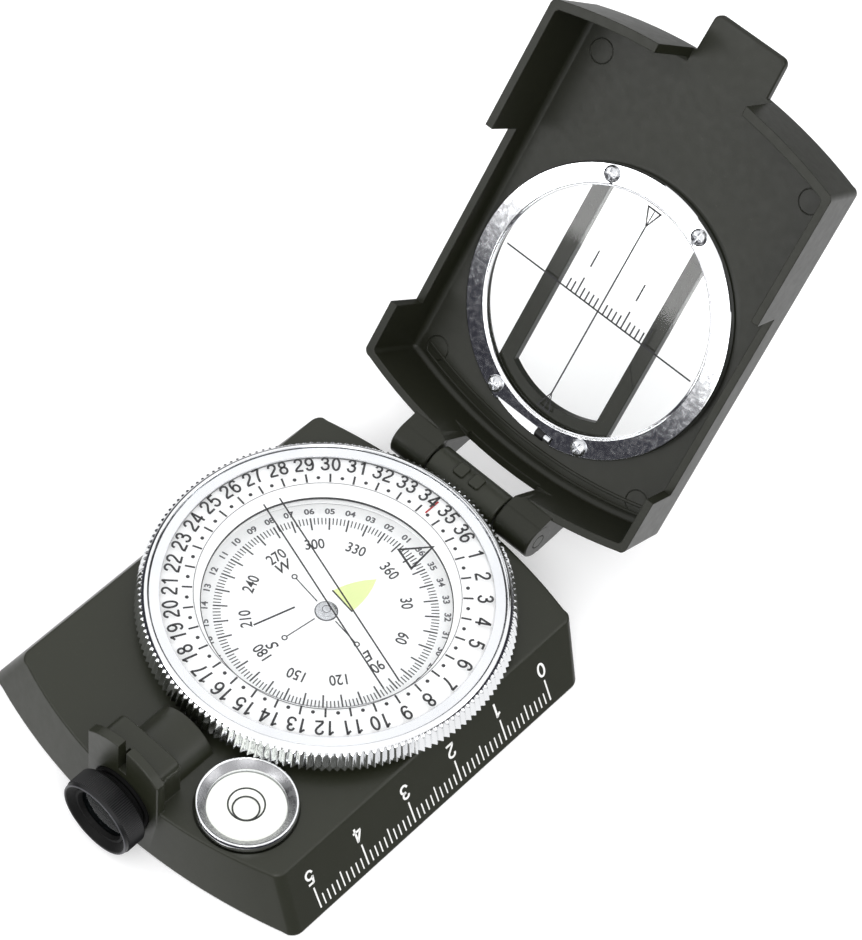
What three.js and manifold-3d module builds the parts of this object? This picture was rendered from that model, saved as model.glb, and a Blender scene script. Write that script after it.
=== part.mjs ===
// Folding sighting compass: tapered cast base with a liquid capsule and a
// floating card, a knurled bezel that turns over it, a prism eyepiece with a
// focus ring, a round bubble level, and a hinged lid with a sighting window.
//
// Frame: millimetres, +Z up. The origin is the centre of the base's underside,
// straight below the card's pivot. +Y points to the hinge, -Y to the eyepiece,
// +X to the ruler side. The lid stands open at LID_OPEN degrees.
import * as THREE from 'three';
import { mergeVertices } from 'three/addons/utils/BufferGeometryUtils.js';
import Module from 'manifold-3d';

const wasm = await Module();
wasm.setup();

// ---------------------------------------------------------------- dimensions
const H = 10.1;                 // height of the base's top face
const BASE_HALF_BOTTOM = 31.4;  // half width of the base on the table
const BASE_HALF_TOP = 26.3;     // half width of the base's top face
const BASE_FRONT = -43.7;       // front end of the underside, on the centre line
const BASE_REAR = 29.8;         // rear end of the underside, on the centre line
const FRONT_R = 95;             // plan radius of the front end
const REAR_R = 77;              // plan radius of the rear end
const REAR_LEAN = 2.7;          // how far the top's rear corners lean back
const WALL = 2.0;               // wall of the base casting
const GAP = 0.3;                // gap between neighbouring pieces
const FIT = 0.08;               // running clearance of a shaft in its hole, on the radius

const WELL_R = 24.4;            // hole in the base's top face for the capsule
const CUP_R = 24.0;             // capsule cup, outside
const CUP_IN_R = 20.9;          // capsule cup, inside
const CARD_R = 19.6;            // compass card
const CARD_Z = 10.2;            // underside of the card
const INDEX_IN_R = 18.9;        // inner edge of the white index ring
const INDEX_TOP = 14.8;         // its top face
const BEZEL_R = 28.1;           // bezel over the knurl
const BEZEL_Z0 = 11.3;          // underside of the knurl
const BEZEL_TOP = 16.0;         // top of the bezel
const CRYSTAL_R = 26.2;
const CRYSTAL_Z0 = 15.1;

const LEVEL_X = 15.0, LEVEL_Y = -32.2, LEVEL_R = 7.6;
const EYE_Z = 7.15;             // height of the eyepiece axis
const EYE_R = 6.55;             // focus ring, outside
const EYE_FRONT = -48.0;        // front face of the focus ring
const BARREL_R = 5.45;          // eyepiece barrel, outside
const BUSH_R = 3.3, BUSH_Y = -28.6;   // threaded tripod bush
const PLATE_HALF = 6.95;        // half width of the rear sight plate
const PLATE_TOP = 20.2;         // top of the sight plate at its slot

const HINGE_Y = 31.8, HINGE_Z = 11.2;
const KNUCKLE_R = 3.0, PIN_R = 1.1;
const KNUCKLE_IN = 7.2, KNUCKLE_OUT = 14.1;
const LID_OPEN = 124.33;        // angle between lid and base as it stands

const LID_HALF_RIM = 26.8;      // lid half width over its rims
const LID_HALF_PLATE = 25.7;    // lid half width at the outer face of its plate
const LID_W0 = -12.7;           // outer face of the lid plate (lid's own w)
const LID_W1 = -11.1;           // inner face of the lid plate
const LID_TALL = -0.5;          // tall rims
const LID_SHORT = -7.2;         // cut-out rims
const LID_FRONT = 75.2, LID_FRONT_R = 83.4;
const LID_PLATE_FRONT = 74.4;   // front end of the plate's outer face
const LID_BACK = 2.7, LID_BACK_R = 78.8;
const WINDOW_V = 31.7;          // window centre from the hinge axis
const WINDOW_R = 17.7;
const RING_OUT = 22.95, RING_IN = 19.4;

// ------------------------------------------------------------------- helpers
function solid(geometry) {
  const g = geometry.clone();
  g.deleteAttribute('normal');
  g.deleteAttribute('uv');
  const m = mergeVertices(g, 1e-4);
  const tri = Uint32Array.from(m.index.array);
  const mesh = new wasm.Mesh({ numProp: 3, vertProperties: Float32Array.from(m.attributes.position.array), triVerts: tri });
  mesh.merge();
  return new wasm.Manifold(mesh);
}
function geometry(manifold) {
  const m = manifold.getMesh();
  const g = new THREE.BufferGeometry();
  g.setAttribute('position', new THREE.BufferAttribute(Float32Array.from(m.vertProperties), 3));
  g.setIndex(new THREE.BufferAttribute(Uint32Array.from(m.triVerts), 1));
  g.computeVertexNormals();
  return g;
}
// Flat outline [[x, y], ...] pulled up from z0 to z1.
function slab(points, z0, z1, holes = []) {
  const s = new THREE.Shape(points.map(p => new THREE.Vector2(p[0], p[1])));
  for (const h of holes) s.holes.push(new THREE.Path(h.map(p => new THREE.Vector2(p[0], p[1]))));
  const g = new THREE.ExtrudeGeometry(s, { depth: z1 - z0, bevelEnabled: false, curveSegments: 1 });
  g.translate(0, 0, z0);
  return g;
}
// The same, with the top outline mapped by fn(x, y) -> [x, y].
function taperedSlab(points, z0, z1, fn) {
  const g = slab(points, z0, z1);
  const p = g.attributes.position;
  for (let i = 0; i < p.count; i++) {
    if (p.getZ(i) > (z0 + z1) / 2) {
      const q = fn(p.getX(i), p.getY(i));
      p.setX(i, q[0]); p.setY(i, q[1]);
    }
  }
  return g;
}
// Turned shape about Z from a closed [[r, z], ...] profile.
function turned(profile, segments = 64) {
  const pts = profile.map(p => new THREE.Vector2(p[0], p[1]));
  const onAxis = Math.abs(profile[0][0]) < 1e-9 && Math.abs(profile[profile.length - 1][0]) < 1e-9;
  if (!onAxis) pts.push(pts[0].clone());
  const g = new THREE.LatheGeometry(pts, segments);
  g.rotateX(Math.PI / 2);
  return g;
}
function turnedSolid(profile, segments = 64) {
  let m = solid(turned(profile, segments));
  if (m.volume() < 0) {
    m = solid(turned(profile.slice().reverse(), segments));
  }
  return m;
}
function disc(r, z0, z1, segments = 64) {
  const g = new THREE.CylinderGeometry(r, r, z1 - z0, segments);
  g.rotateX(Math.PI / 2);
  g.translate(0, 0, (z0 + z1) / 2);
  return solid(g);
}
// Cylinder along an axis, from a to b.
function rod(axis, a, b, r, u, v, segments = 32) {
  const g = new THREE.CylinderGeometry(r, r, b - a, segments);
  if (axis === 'x') { g.rotateZ(-Math.PI / 2); g.translate((a + b) / 2, u, v); }
  if (axis === 'y') g.translate(u, (a + b) / 2, v);
  if (axis === 'z') { g.rotateX(Math.PI / 2); g.translate(u, v, (a + b) / 2); }
  return solid(g);
}
function block(x0, x1, y0, y1, z0, z1) {
  const g = new THREE.BoxGeometry(x1 - x0, y1 - y0, z1 - z0);
  g.translate((x0 + x1) / 2, (y0 + y1) / 2, (z0 + z1) / 2);
  return solid(g);
}
// Outline in the YZ plane pulled along X from x0 to x1.
function alongX(points, x0, x1) {
  const g = slab(points, 0, x1 - x0);           // (y, z) drawn as (x, y)
  g.applyMatrix4(new THREE.Matrix4().set(0, 0, 1, x0, 1, 0, 0, 0, 0, 1, 0, 0, 0, 0, 0, 1));
  return solid(g);
}
// Outline in the XZ plane pulled along Y from y0 to y1.
function alongY(points, y0, y1) {
  const g = slab(points.map(p => [p[0], -p[1]]), 0, y1 - y0);
  g.applyMatrix4(new THREE.Matrix4().set(1, 0, 0, 0, 0, 0, 1, y0, 0, -1, 0, 0, 0, 0, 0, 1));
  return solid(g);
}
function arc(cx, cy, r, a0, a1, n) {
  const out = [];
  for (let i = 0; i <= n; i++) {
    const a = (a0 + (a1 - a0) * i / n) * Math.PI / 180;
    out.push([cx + r * Math.cos(a), cy + r * Math.sin(a)]);
  }
  return out;
}
// Plan outline with straight sides and bowed ends, rounded corners.
function bowed(half, front, frontR, rear, rearR, corner, n = 14) {
  const yf = x => front + (frontR - Math.sqrt(frontR * frontR - x * x));
  const yr = x => rear - (rearR - Math.sqrt(rearR * rearR - x * x));
  const pts = [];
  const xe = half - corner;
  for (let i = 0; i <= n; i++) { const x = -xe + 2 * xe * i / n; pts.push([x, yf(x)]); }
  const c = (cx, cy, a0, a1) => arc(cx, cy, corner, a0, a1, 4).slice(1);
  pts.push(...c(xe, yf(xe) + corner, -78, 0));
  pts.push(...c(xe, yr(xe) - corner, 0, 72));
  for (let i = 0; i <= n; i++) { const x = xe - 2 * xe * i / n; pts.push([x, yr(x)]); }
  pts.push(...c(-xe, yr(xe) - corner, 108, 180));
  pts.push(...c(-xe, yf(xe) + corner, 180, 258));
  return pts;
}

const COLOR = { olive: 0x46473c, black: 0x1b1b1c, chrome: 0xd8dadc, white: 0xf1f1ee, glass: 0xdfeef2, steel: 0xa9abad, brass: 0xb99a55, magnet: 0x4a4c50, clear: 0xe8f4ee };
function finish(color, roughness, metalness, extra = {}) {
  return new THREE.MeshStandardMaterial({ color, roughness, metalness, ...extra });
}
const paint = () => finish(COLOR.olive, 0.55, 0.25);
const chrome = () => finish(COLOR.chrome, 0.16, 1.0);
const glassy = () => finish(COLOR.glass, 0.05, 0.0, { transparent: true, opacity: 0.3 });

const root = new THREE.Group();
const lidGroup = new THREE.Group();
lidGroup.position.set(0, HINGE_Y, HINGE_Z);
lidGroup.rotation.x = (180 - LID_OPEN) * Math.PI / 180;
root.add(lidGroup);
function put(name, manifold, material, parent = root) {
  const m = new THREE.Mesh(geometry(manifold), material);
  m.name = name;
  parent.add(m);
  return m;
}

// ------------------------------------------------------------- base housing
const ky = (BASE_REAR - BASE_FRONT), topFront = -42.3, topRear = 29.1;
const kTop = (topRear - topFront) / ky, cTop = topRear - BASE_REAR * kTop;
const kx = BASE_HALF_TOP / BASE_HALF_BOTTOM;
const outline = bowed(BASE_HALF_BOTTOM, BASE_FRONT, FRONT_R, BASE_REAR, REAR_R, 2.2);
// Towards its corners the top's rear edge leans back over the underside's.
let base = solid(taperedSlab(outline, 0, H, (x, y) => [x * kx, y * kTop + cTop + (y > 0 ? REAR_LEAN * (x / 29.2) ** 2 : 0)]));

// Hollow underside, open at the bottom where the cover closes it.
const inner = bowed(BASE_HALF_BOTTOM - 4.2, BASE_FRONT + 4.2, FRONT_R - 3, BASE_REAR - 3.2, REAR_R - 3, 1.6, 10);
let cavity = solid(taperedSlab(inner, 1.7, H - 2.0, (x, y) => [x * 0.86, y * 0.975 + 0.2]));
base = base.subtract(cavity);
// Recess for the cover plate.
const coverOutline = bowed(BASE_HALF_BOTTOM - 2.6, BASE_FRONT + 2.6, FRONT_R - 2, BASE_REAR - 2.0, REAR_R - 2, 1.8, 10);
base = base.subtract(solid(slab(coverOutline, -1, 1.8)));
// Four bosses for the cover screws.
const BOSSES = [[-24.4, -34.0], [24.4, -34.0], [-22.6, 20.8], [22.6, 20.8]];
for (const [x, y] of BOSSES) base = base.add(rod('z', 1.8, H - 1.0, 2.6, x, y, 24));
base = base.add(rod('z', 1.8, H - 1.0, BUSH_R + 1.1, 0, BUSH_Y, 32));

// Sight plate, prism block and light tunnel.
const plate = [[-PLATE_HALF - 0.15, 4], [PLATE_HALF + 0.15, 4]];
for (let i = 0; i <= 12; i++) {
  const x = PLATE_HALF * (1 - 2 * i / 12);
  plate.push([x, PLATE_TOP - 2.6 * (x / PLATE_HALF) ** 2]);
}
base = base.add(alongY(plate, -42.45, -40.95));
const prismBlock = [[-6.3, 4], [6.3, 4], [6.1, 15.6], ...arc(4.5, 15.6, 1.6, 0, 90, 4), ...arc(-4.5, 15.6, 1.6, 90, 180, 4), [-6.1, 15.6]];
base = base.add(alongY(prismBlock, -41.2, -36.7));
base = base.add(alongY([[-5.7, 5], [5.7, 5], ...arc(0, 8.2, 5.7, 0, 180, 16)], -36.9, -28.75));
// Sight slot.
base = base.subtract(block(-0.8, 0.8, -43.2, -40.4, 14.1, 22));
// Bore of the eyepiece and the prism chamber behind it.
base = base.subtract(rod('y', -46, -37.0, BARREL_R + FIT, 0, EYE_Z, 40));
base = base.subtract(block(-4.6, 4.6, -40.5, -33.2, 1.7, 11.6));
// Seat of the bubble level.
base = base.subtract(rod('z', 4.6, 14, LEVEL_R - 0.75 + GAP, LEVEL_X, LEVEL_Y, 48));
base = base.subtract(rod('z', H - 0.4, 14, LEVEL_R + GAP, LEVEL_X, LEVEL_Y, 48));
// Well of the capsule.
base = base.subtract(disc(WELL_R, 2.0, 14, 96));
// Centre knuckle of the hinge and its root on the rear end.
const knuckleCircle = arc(HINGE_Y, HINGE_Z, KNUCKLE_R, -70, 210, 22);
base = base.add(alongX([[27.4, 3.2], [30.4, 5.2], ...knuckleCircle, [28.6, 9.6], [27.4, 9.6]], -KNUCKLE_IN + GAP, KNUCKLE_IN - GAP));
// Room for the lid's knuckles.
for (const s of [-1, 1]) {
  const a = s < 0 ? -KNUCKLE_OUT - 0.5 : KNUCKLE_IN - GAP, b = s < 0 ? -KNUCKLE_IN + GAP : KNUCKLE_OUT + 0.5;
  base = base.subtract(rod('x', a, b, KNUCKLE_R + 0.45, HINGE_Y, HINGE_Z, 40));
}
base = base.subtract(rod('x', -20, 20, PIN_R + FIT, HINGE_Y, HINGE_Z, 24));
// Cover screw holes and keep the space above the table clear.
for (const [x, y] of BOSSES) base = base.subtract(rod('z', 0, 6.2, 1.0 + GAP, x, y, 20));
base = base.subtract(rod('z', 0, 6.4, BUSH_R + FIT, 0, BUSH_Y, 40));
put('base_housing', base, paint());

// ------------------------------------------------------- cover and fasteners
let cover = solid(slab(bowed(BASE_HALF_BOTTOM - 2.9, BASE_FRONT + 2.9, FRONT_R - 2, BASE_REAR - 2.3, REAR_R - 2, 1.6, 10), 0, 1.4));
for (const [x, y] of BOSSES) {
  cover = cover.subtract(turnedSolid([[0, -1], [2.3, -1], [2.3, 0.0], [1.3, 1.0], [1.3, 2.5], [0, 2.5]], 24).translate([x, y, 0]));
}
cover = cover.subtract(rod('z', -1, 3, BUSH_R + FIT, 0, BUSH_Y, 40));
put('bottom_cover', cover, paint());
BOSSES.forEach(([x, y], i) => {
  let s = turnedSolid([[0, 0.15], [1.95, 0.15], [1.95, 0.3], [1.0, 1.25], [1.0, 5.9], [0, 5.9]], 24);
  s = s.subtract(block(-1.2, 1.2, -0.25, 0.25, -1, 0.75)).subtract(block(-0.25, 0.25, -1.2, 1.2, -1, 0.75));
  put(`cover_screw_${i + 1}`, s.translate([x, y, 0]), finish(COLOR.steel, 0.35, 1.0));
});
const bush = turnedSolid([[2.55, 0.1], [BUSH_R, 0.1], [BUSH_R, 6.1], [2.55, 6.1]], 40);
put('tripod_bush', bush.translate([0, BUSH_Y, 0]), finish(COLOR.brass, 0.35, 1.0));

// ------------------------------------------------------------ capsule, card
let cup = turnedSolid([[0, 2.3], [22.6, 2.3], [CUP_R, 3.4], [CUP_R, 12.6], [CUP_IN_R + 1.6, 12.6], [CUP_IN_R + 1.6, 11.75], [CUP_IN_R, 11.75], [CUP_IN_R, 3.6], [0, 3.6]], 80);
cup = cup.subtract(rod('z', 2.9, 5, 1.3, 0, 0, 24));
put('capsule_cup', cup, finish(COLOR.white, 0.5, 0.0));
put('pivot_post', turnedSolid([[0, 3.2], [1.0, 3.2], [1.0, 4.4], [0.55, 5.0], [0.45, 8.6], [0, 9.55]], 24), finish(COLOR.steel, 0.25, 1.0));
put('capsule_seal', turnedSolid([[CUP_IN_R + 0.25, 12.05], [CUP_IN_R + 1.3, 12.05], [CUP_IN_R + 1.3, 12.6], [CUP_IN_R + 0.25, 12.6]], 64), finish(0x20201f, 0.8, 0.0));
put('capsule_glass', disc(CUP_IN_R - 0.05, 11.75, 12.65, 80), glassy());
put('index_ring', turnedSolid([[INDEX_IN_R, 12.95], [25.1, 12.95], [25.1, INDEX_TOP], [19.95, INDEX_TOP], [INDEX_IN_R, 13.2]], 96), finish(COLOR.white, 0.45, 0.0));

let card = disc(CARD_R, CARD_Z, CARD_Z + 0.4, 80);
card = card.subtract(rod('z', 9, 12, 1.75, 0, 0, 24));
put('compass_card', card, finish(COLOR.white, 0.5, 0.0));
put('card_magnet', turnedSolid([[4.5, 8.3], [8.2, 8.3], [8.2, 9.9], [4.5, 9.9]], 40), finish(COLOR.magnet, 0.45, 0.8));
put('jewel_cap', turnedSolid([[0, 9.9], [0.75, 8.9], [1.45, 8.9], [1.45, 10.75], [1.0, 11.2], [0, 11.3]], 28), finish(COLOR.steel, 0.25, 1.0));

// -------------------------------------------------------------------- bezel
const bezel = turnedSolid([
  [CUP_R + 0.1, BEZEL_Z0], [27.7, BEZEL_Z0], [BEZEL_R, BEZEL_Z0 + 0.3], [BEZEL_R, 14.5], [27.4, 15.6], [27.1, BEZEL_TOP], [26.55, BEZEL_TOP], [26.5, 14.75], [25.45, 14.75], [25.45, 12.2], [CUP_R + 0.1, 12.2]], 120);
put('bezel_ring', bezel, chrome());
put('crystal', disc(CRYSTAL_R, CRYSTAL_Z0, 16.05, 96), glassy());

// ------------------------------------------------------------- bubble level
const level = turnedSolid([[0, 5.0], [LEVEL_R - 0.75, 5.0], [LEVEL_R - 0.75, H], [LEVEL_R, H], [LEVEL_R, 11.35], [LEVEL_R - 0.35, 11.75], [LEVEL_R - 0.75, 11.75], [6.1, 10.55], [6.1, 6.4], [0, 6.4]], 56).translate([LEVEL_X, LEVEL_Y, 0]);
put('level_cup', level, chrome());
put('level_disc', disc(5.8, 6.7, 9.3, 40).translate([LEVEL_X, LEVEL_Y, 0]), finish(COLOR.white, 0.4, 0.0));
put('level_lens', turnedSolid([[0, 9.6], [5.8, 9.6], [5.8, 10.35], [4.4, 10.7], [2.2, 10.9], [0, 10.95]], 40).translate([LEVEL_X, LEVEL_Y, 0]), finish(COLOR.clear, 0.05, 0.0, { transparent: true, opacity: 0.35 }));

// ------------------------------------------------------------------ eyepiece
const yAxis = (m, z = EYE_Z) => m.rotate([90, 0, 0]).translate([0, 0, z]);   // +Z of the profile -> -Y
put('eyepiece_barrel', yAxis(turnedSolid([[4.3, 38.0], [BARREL_R, 38.0], [BARREL_R, 42.95], [4.85, 42.95], [4.85, 44.6], [4.3, 44.6]], 40)), finish(COLOR.black, 0.45, 0.4));
put('focus_ring', yAxis(turnedSolid([[4.95, 43.95], [6.2, 43.95], [EYE_R, 44.3], [EYE_R, -EYE_FRONT - 0.4], [6.2, -EYE_FRONT], [5.45, -EYE_FRONT], [4.95, -EYE_FRONT - 0.3]], 56)), finish(COLOR.black, 0.5, 0.3));
put('eyepiece_lens', yAxis(turnedSolid([[0, 44.95], [4.6, 45.5], [4.6, 46.3], [0, 46.75]], 40)), glassy());
put('lens_retainer', yAxis(turnedSolid([[4.1, 46.45], [4.85, 46.45], [4.85, 47.1], [4.4, 47.1]], 40)), finish(COLOR.black, 0.3, 0.6));
put('eyepiece_prism', alongX([[-36.9, 3.6], [-33.5, 3.6], [-36.9, 10.6]], -4.1, 4.1), glassy());

// ----------------------------------------------------------------- hinge pin
put('hinge_pin', rod('x', -KNUCKLE_OUT, KNUCKLE_OUT, PIN_R, HINGE_Y, HINGE_Z, 28), finish(COLOR.steel, 0.35, 1.0));

// ----------------------------------------------------------------------- lid
// Built in the lid's own frame: x across, y = distance from the hinge axis
// along the lid, z towards the inside of the lid.
function lidOutline(half, back, backR, front, frontR, corner, n = 12) {
  const yb = x => back + (backR - Math.sqrt(backR * backR - x * x));
  const yf = x => front - (frontR - Math.sqrt(frontR * frontR - x * x));
  const pts = [], xe = half - corner;
  for (let i = 0; i <= n; i++) { const x = -xe + 2 * xe * i / n; pts.push([x, yb(x)]); }
  pts.push(...arc(xe, yb(xe) + corner, corner, -72, 0, 3).slice(1));
  pts.push(...arc(xe, yf(xe) - corner, corner, 0, 75, 3).slice(1));
  for (let i = 0; i <= n; i++) { const x = xe - 2 * xe * i / n; pts.push([x, yf(x)]); }
  pts.push(...arc(-xe, yf(xe) - corner, corner, 105, 180, 3).slice(1));
  pts.push(...arc(-xe, yb(xe) + corner, corner, 180, 252, 3).slice(1));
  return pts;
}
const LT = LID_TALL - LID_W0;
const lidPlate = lidOutline(LID_HALF_PLATE, 3.0, LID_BACK_R, LID_PLATE_FRONT, LID_FRONT_R, 1.2);
const kLx = LID_HALF_RIM / LID_HALF_PLATE, kLy = (LID_FRONT - LID_BACK) / (LID_PLATE_FRONT - 3.0), cLy = LID_BACK - 3.0 * kLy;
let lid = solid(taperedSlab(lidPlate, LID_W0, LID_TALL, (x, y) => [x * kLx, y * kLy + cLy]));
const lidInner = lidOutline(LID_HALF_PLATE - 1.15, 4.15, LID_BACK_R, LID_PLATE_FRONT - 1.4, LID_FRONT_R, 0.8);
const kIx = (LID_HALF_RIM - 1.2) / (LID_HALF_PLATE - 1.15);
lid = lid.subtract(solid(taperedSlab(lidInner, LID_W1, 2, (x, y) => [x * kIx * 1.004, y * kLy + cLy + 0.05])));
// Side cut-outs, front gap and the low middle of the rear wall.
lid = lid.subtract(block(-40, 40, 16.4, 48.8, LID_SHORT, 6));
lid = lid.subtract(alongY([[-7.5, LID_W1], [7.5, LID_W1], [8.6, 3], [-8.6, 3]], 60, 80));
lid = lid.subtract(block(-KNUCKLE_IN, KNUCKLE_IN, -5, 8, LID_SHORT, 6));
// Tab over the eyepiece.
lid = lid.add(solid(slab([[-7.2, 72.5], [6.6, 72.5], [6.4, 79.4], [5.5, 80.6], [-6.2, 80.6], [-7.0, 79.4]], LID_W0, LID_W1)));
// Window opening with its two bars, and the glass seat.
lid = lid.subtract(disc(WINDOW_R, LID_W0 - 1, LID_W1 + 1, 72).translate([0, WINDOW_V, 0]).subtract(block(-11.1, -8.5, 0, 70, LID_W0 - 2, LID_W1 + 2)).subtract(block(8.5, 11.1, 0, 70, LID_W0 - 2, LID_W1 + 2)));
lid = lid.subtract(disc(20.6, LID_W1 - 0.55, LID_W1 + 3, 72).translate([0, WINDOW_V, 0]));
// Knuckles and their arms.
for (const s of [-1, 1]) {
  const a = s < 0 ? -KNUCKLE_OUT : KNUCKLE_IN, b = s < 0 ? -KNUCKLE_IN : KNUCKLE_OUT;
  lid = lid.add(rod('x', a, b, KNUCKLE_R, 0, 0, 40));
  lid = lid.add(alongX([[-2.3, -1.93], [3.3, -9.2], [4.1, -9.2], [4.1, -0.5], [1.0, 2.83], [0, 0]], a, b));
}
lid = lid.subtract(rod('x', -20, 20, PIN_R + FIT, 0, 0, 24));
// Screw holes of the window ring.
const SCREWS = [[-8.6, 19.5], [8.6, 19.5], [-8.6, -19.5], [8.6, -19.5]].map(([x, v]) => [x, WINDOW_V + v]);
for (const [x, v] of SCREWS) lid = lid.subtract(rod('z', LID_W1 - 1.15, LID_W1 + 2, 0.75, x, v, 16));
put('lid_shell', lid, paint(), lidGroup);

put('window_glass', disc(20.3, LID_W1 - 0.25, LID_W1 + 0.6, 72).translate([0, WINDOW_V, 0]), glassy(), lidGroup);
let ring = turnedSolid([[RING_IN, LID_W1 + 0.9], [20.7, LID_W1 + 0.9], [20.7, LID_W1 + 0.3], [RING_OUT, LID_W1 + 0.3], [RING_OUT, LID_W1 + 1.15], [22.7, LID_W1 + 1.4], [RING_IN + 0.3, LID_W1 + 1.4], [RING_IN, LID_W1 + 1.2]], 96).translate([0, WINDOW_V, 0]);
for (const [x, v] of SCREWS) ring = ring.subtract(rod('z', LID_W1 - 1, LID_W1 + 3, 1.0, x, v, 20));
ring = ring.subtract(block(-7.4, 4.2, 0, WINDOW_V - 21.0, LID_W1 - 1, LID_W1 + 3));
put('window_ring', ring, chrome(), lidGroup);
SCREWS.forEach(([x, v], i) => {
  let s = turnedSolid([[0, LID_W1 - 0.9], [0.45, LID_W1 - 0.9], [0.45, LID_W1 + 1.0], [0.7, LID_W1 + 1.45], [0.7, LID_W1 + 1.7], [1.35, LID_W1 + 1.7], [1.2, LID_W1 + 2.0], [0.6, LID_W1 + 2.15], [0, LID_W1 + 2.2]], 24);
  s = s.subtract(block(-0.85, 0.85, -0.17, 0.17, LID_W1 + 1.85, 0)).subtract(block(-0.17, 0.17, -0.85, 0.85, LID_W1 + 1.85, 0));
  put(`window_screw_${i + 1}`, s.translate([x, v, 0]), finish(COLOR.steel, 0.25, 1.0), lidGroup);
});
put('window_catch_pin', rod('x', 2.0, 3.9, 0.62, WINDOW_V - 21.75, LID_W1 + 0.95, 20), finish(COLOR.black, 0.4, 0.7), lidGroup);
put('window_spring_bar', block(-7.0, 1.6, WINDOW_V - 22.2, WINDOW_V - 21.4, LID_W1 + 0.3, LID_W1 + 1.0), finish(COLOR.chrome, 0.3, 1.0), lidGroup);

export default root;
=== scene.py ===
# Folding sighting compass: the looks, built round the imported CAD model.
# Lengths inside the helpers are millimetres in the row frame; objects are metres.
import bpy, bmesh, math
from mathutils import Vector, Matrix


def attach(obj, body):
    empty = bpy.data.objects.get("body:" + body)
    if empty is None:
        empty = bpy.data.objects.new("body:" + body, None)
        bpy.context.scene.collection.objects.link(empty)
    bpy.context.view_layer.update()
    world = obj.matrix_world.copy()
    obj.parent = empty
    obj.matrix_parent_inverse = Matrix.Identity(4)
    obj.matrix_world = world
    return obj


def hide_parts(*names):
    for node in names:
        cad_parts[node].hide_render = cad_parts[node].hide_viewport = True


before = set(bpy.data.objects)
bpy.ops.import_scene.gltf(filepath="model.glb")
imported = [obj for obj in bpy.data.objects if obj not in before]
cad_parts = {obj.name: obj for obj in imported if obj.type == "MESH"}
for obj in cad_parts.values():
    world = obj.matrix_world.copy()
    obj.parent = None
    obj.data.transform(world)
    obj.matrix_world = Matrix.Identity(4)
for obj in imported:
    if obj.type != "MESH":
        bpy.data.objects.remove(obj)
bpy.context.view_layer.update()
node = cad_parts
COLL = bpy.context.scene.collection
S = 0.001
NODE_NAMES = {o.name for o in node.values()}

# ------------------------------------------------------------------ geometry
H = 10.1
HB, HT = 31.4, 26.3
HY, HZ = 31.8, 11.2
LID_OPEN = 124.33
LID = Matrix.Translation((0, HY, HZ)) @ Matrix.Rotation(math.radians(180 - LID_OPEN), 4, 'X')
EYE = Matrix.Translation((0, 0, 7.15)) @ Matrix.Rotation(math.radians(90), 4, 'X')   # +Z -> -Y
W0, W1 = -12.7, -11.1
WINV = 31.7
WIN = LID @ Matrix.Translation((0, WINV, 0))
LVL = Matrix.Translation((15.0, -32.2, 0))


def arc(cx, cy, r, a0, a1, n):
    return [(cx + r * math.cos(math.radians(a0 + (a1 - a0) * i / n)), cy + r * math.sin(math.radians(a0 + (a1 - a0) * i / n))) for i in range(n + 1)]


def fillet(pts, n=4, closed=True):
    """[(x, y) or (x, y, r)] with the corners rounded to r."""
    out, m = [], len(pts)
    for i, p in enumerate(pts):
        r = p[2] if len(p) > 2 else 0
        if r <= 0 or (not closed and i in (0, m - 1)):
            out.append((p[0], p[1])); continue
        a, b, c = Vector(pts[i - 1][:2]), Vector(p[:2]), Vector(pts[(i + 1) % m][:2])
        u, w = (a - b).normalized(), (c - b).normalized()
        cosang = max(-0.9999, min(0.9999, u.dot(w)))
        ang = math.acos(cosang)
        t = min(r / math.tan(ang / 2), (a - b).length * 0.49, (c - b).length * 0.49)
        rr = t * math.tan(ang / 2)
        ctr = b + (u + w).normalized() * (rr / math.sin(ang / 2))
        s, e = b + u * t - ctr, b + w * t - ctr
        a0, a1 = math.atan2(s.y, s.x), math.atan2(e.y, e.x)
        d = (a1 - a0 + math.pi) % (2 * math.pi) - math.pi
        for k in range(n + 1):
            q = a0 + d * k / n
            out.append((ctr.x + rr * math.cos(q), ctr.y + rr * math.sin(q)))
    return out


def offset(pts, d):
    """A counter-clockwise outline moved inwards by d."""
    out, m = [], len(pts)
    for i in range(m):
        a, b, c = Vector(pts[i - 1]), Vector(pts[i]), Vector(pts[(i + 1) % m])
        e1, e2 = (b - a).normalized(), (c - b).normalized()
        n1, n2 = Vector((e1.y, -e1.x)), Vector((e2.y, -e2.x))
        nn = n1 + n2
        nn = nn.normalized() / max(0.5, nn.normalized().dot(n1)) if nn.length > 1e-6 else n1
        out.append((b.x - nn.x * d, b.y - nn.y * d))
    return out


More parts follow.
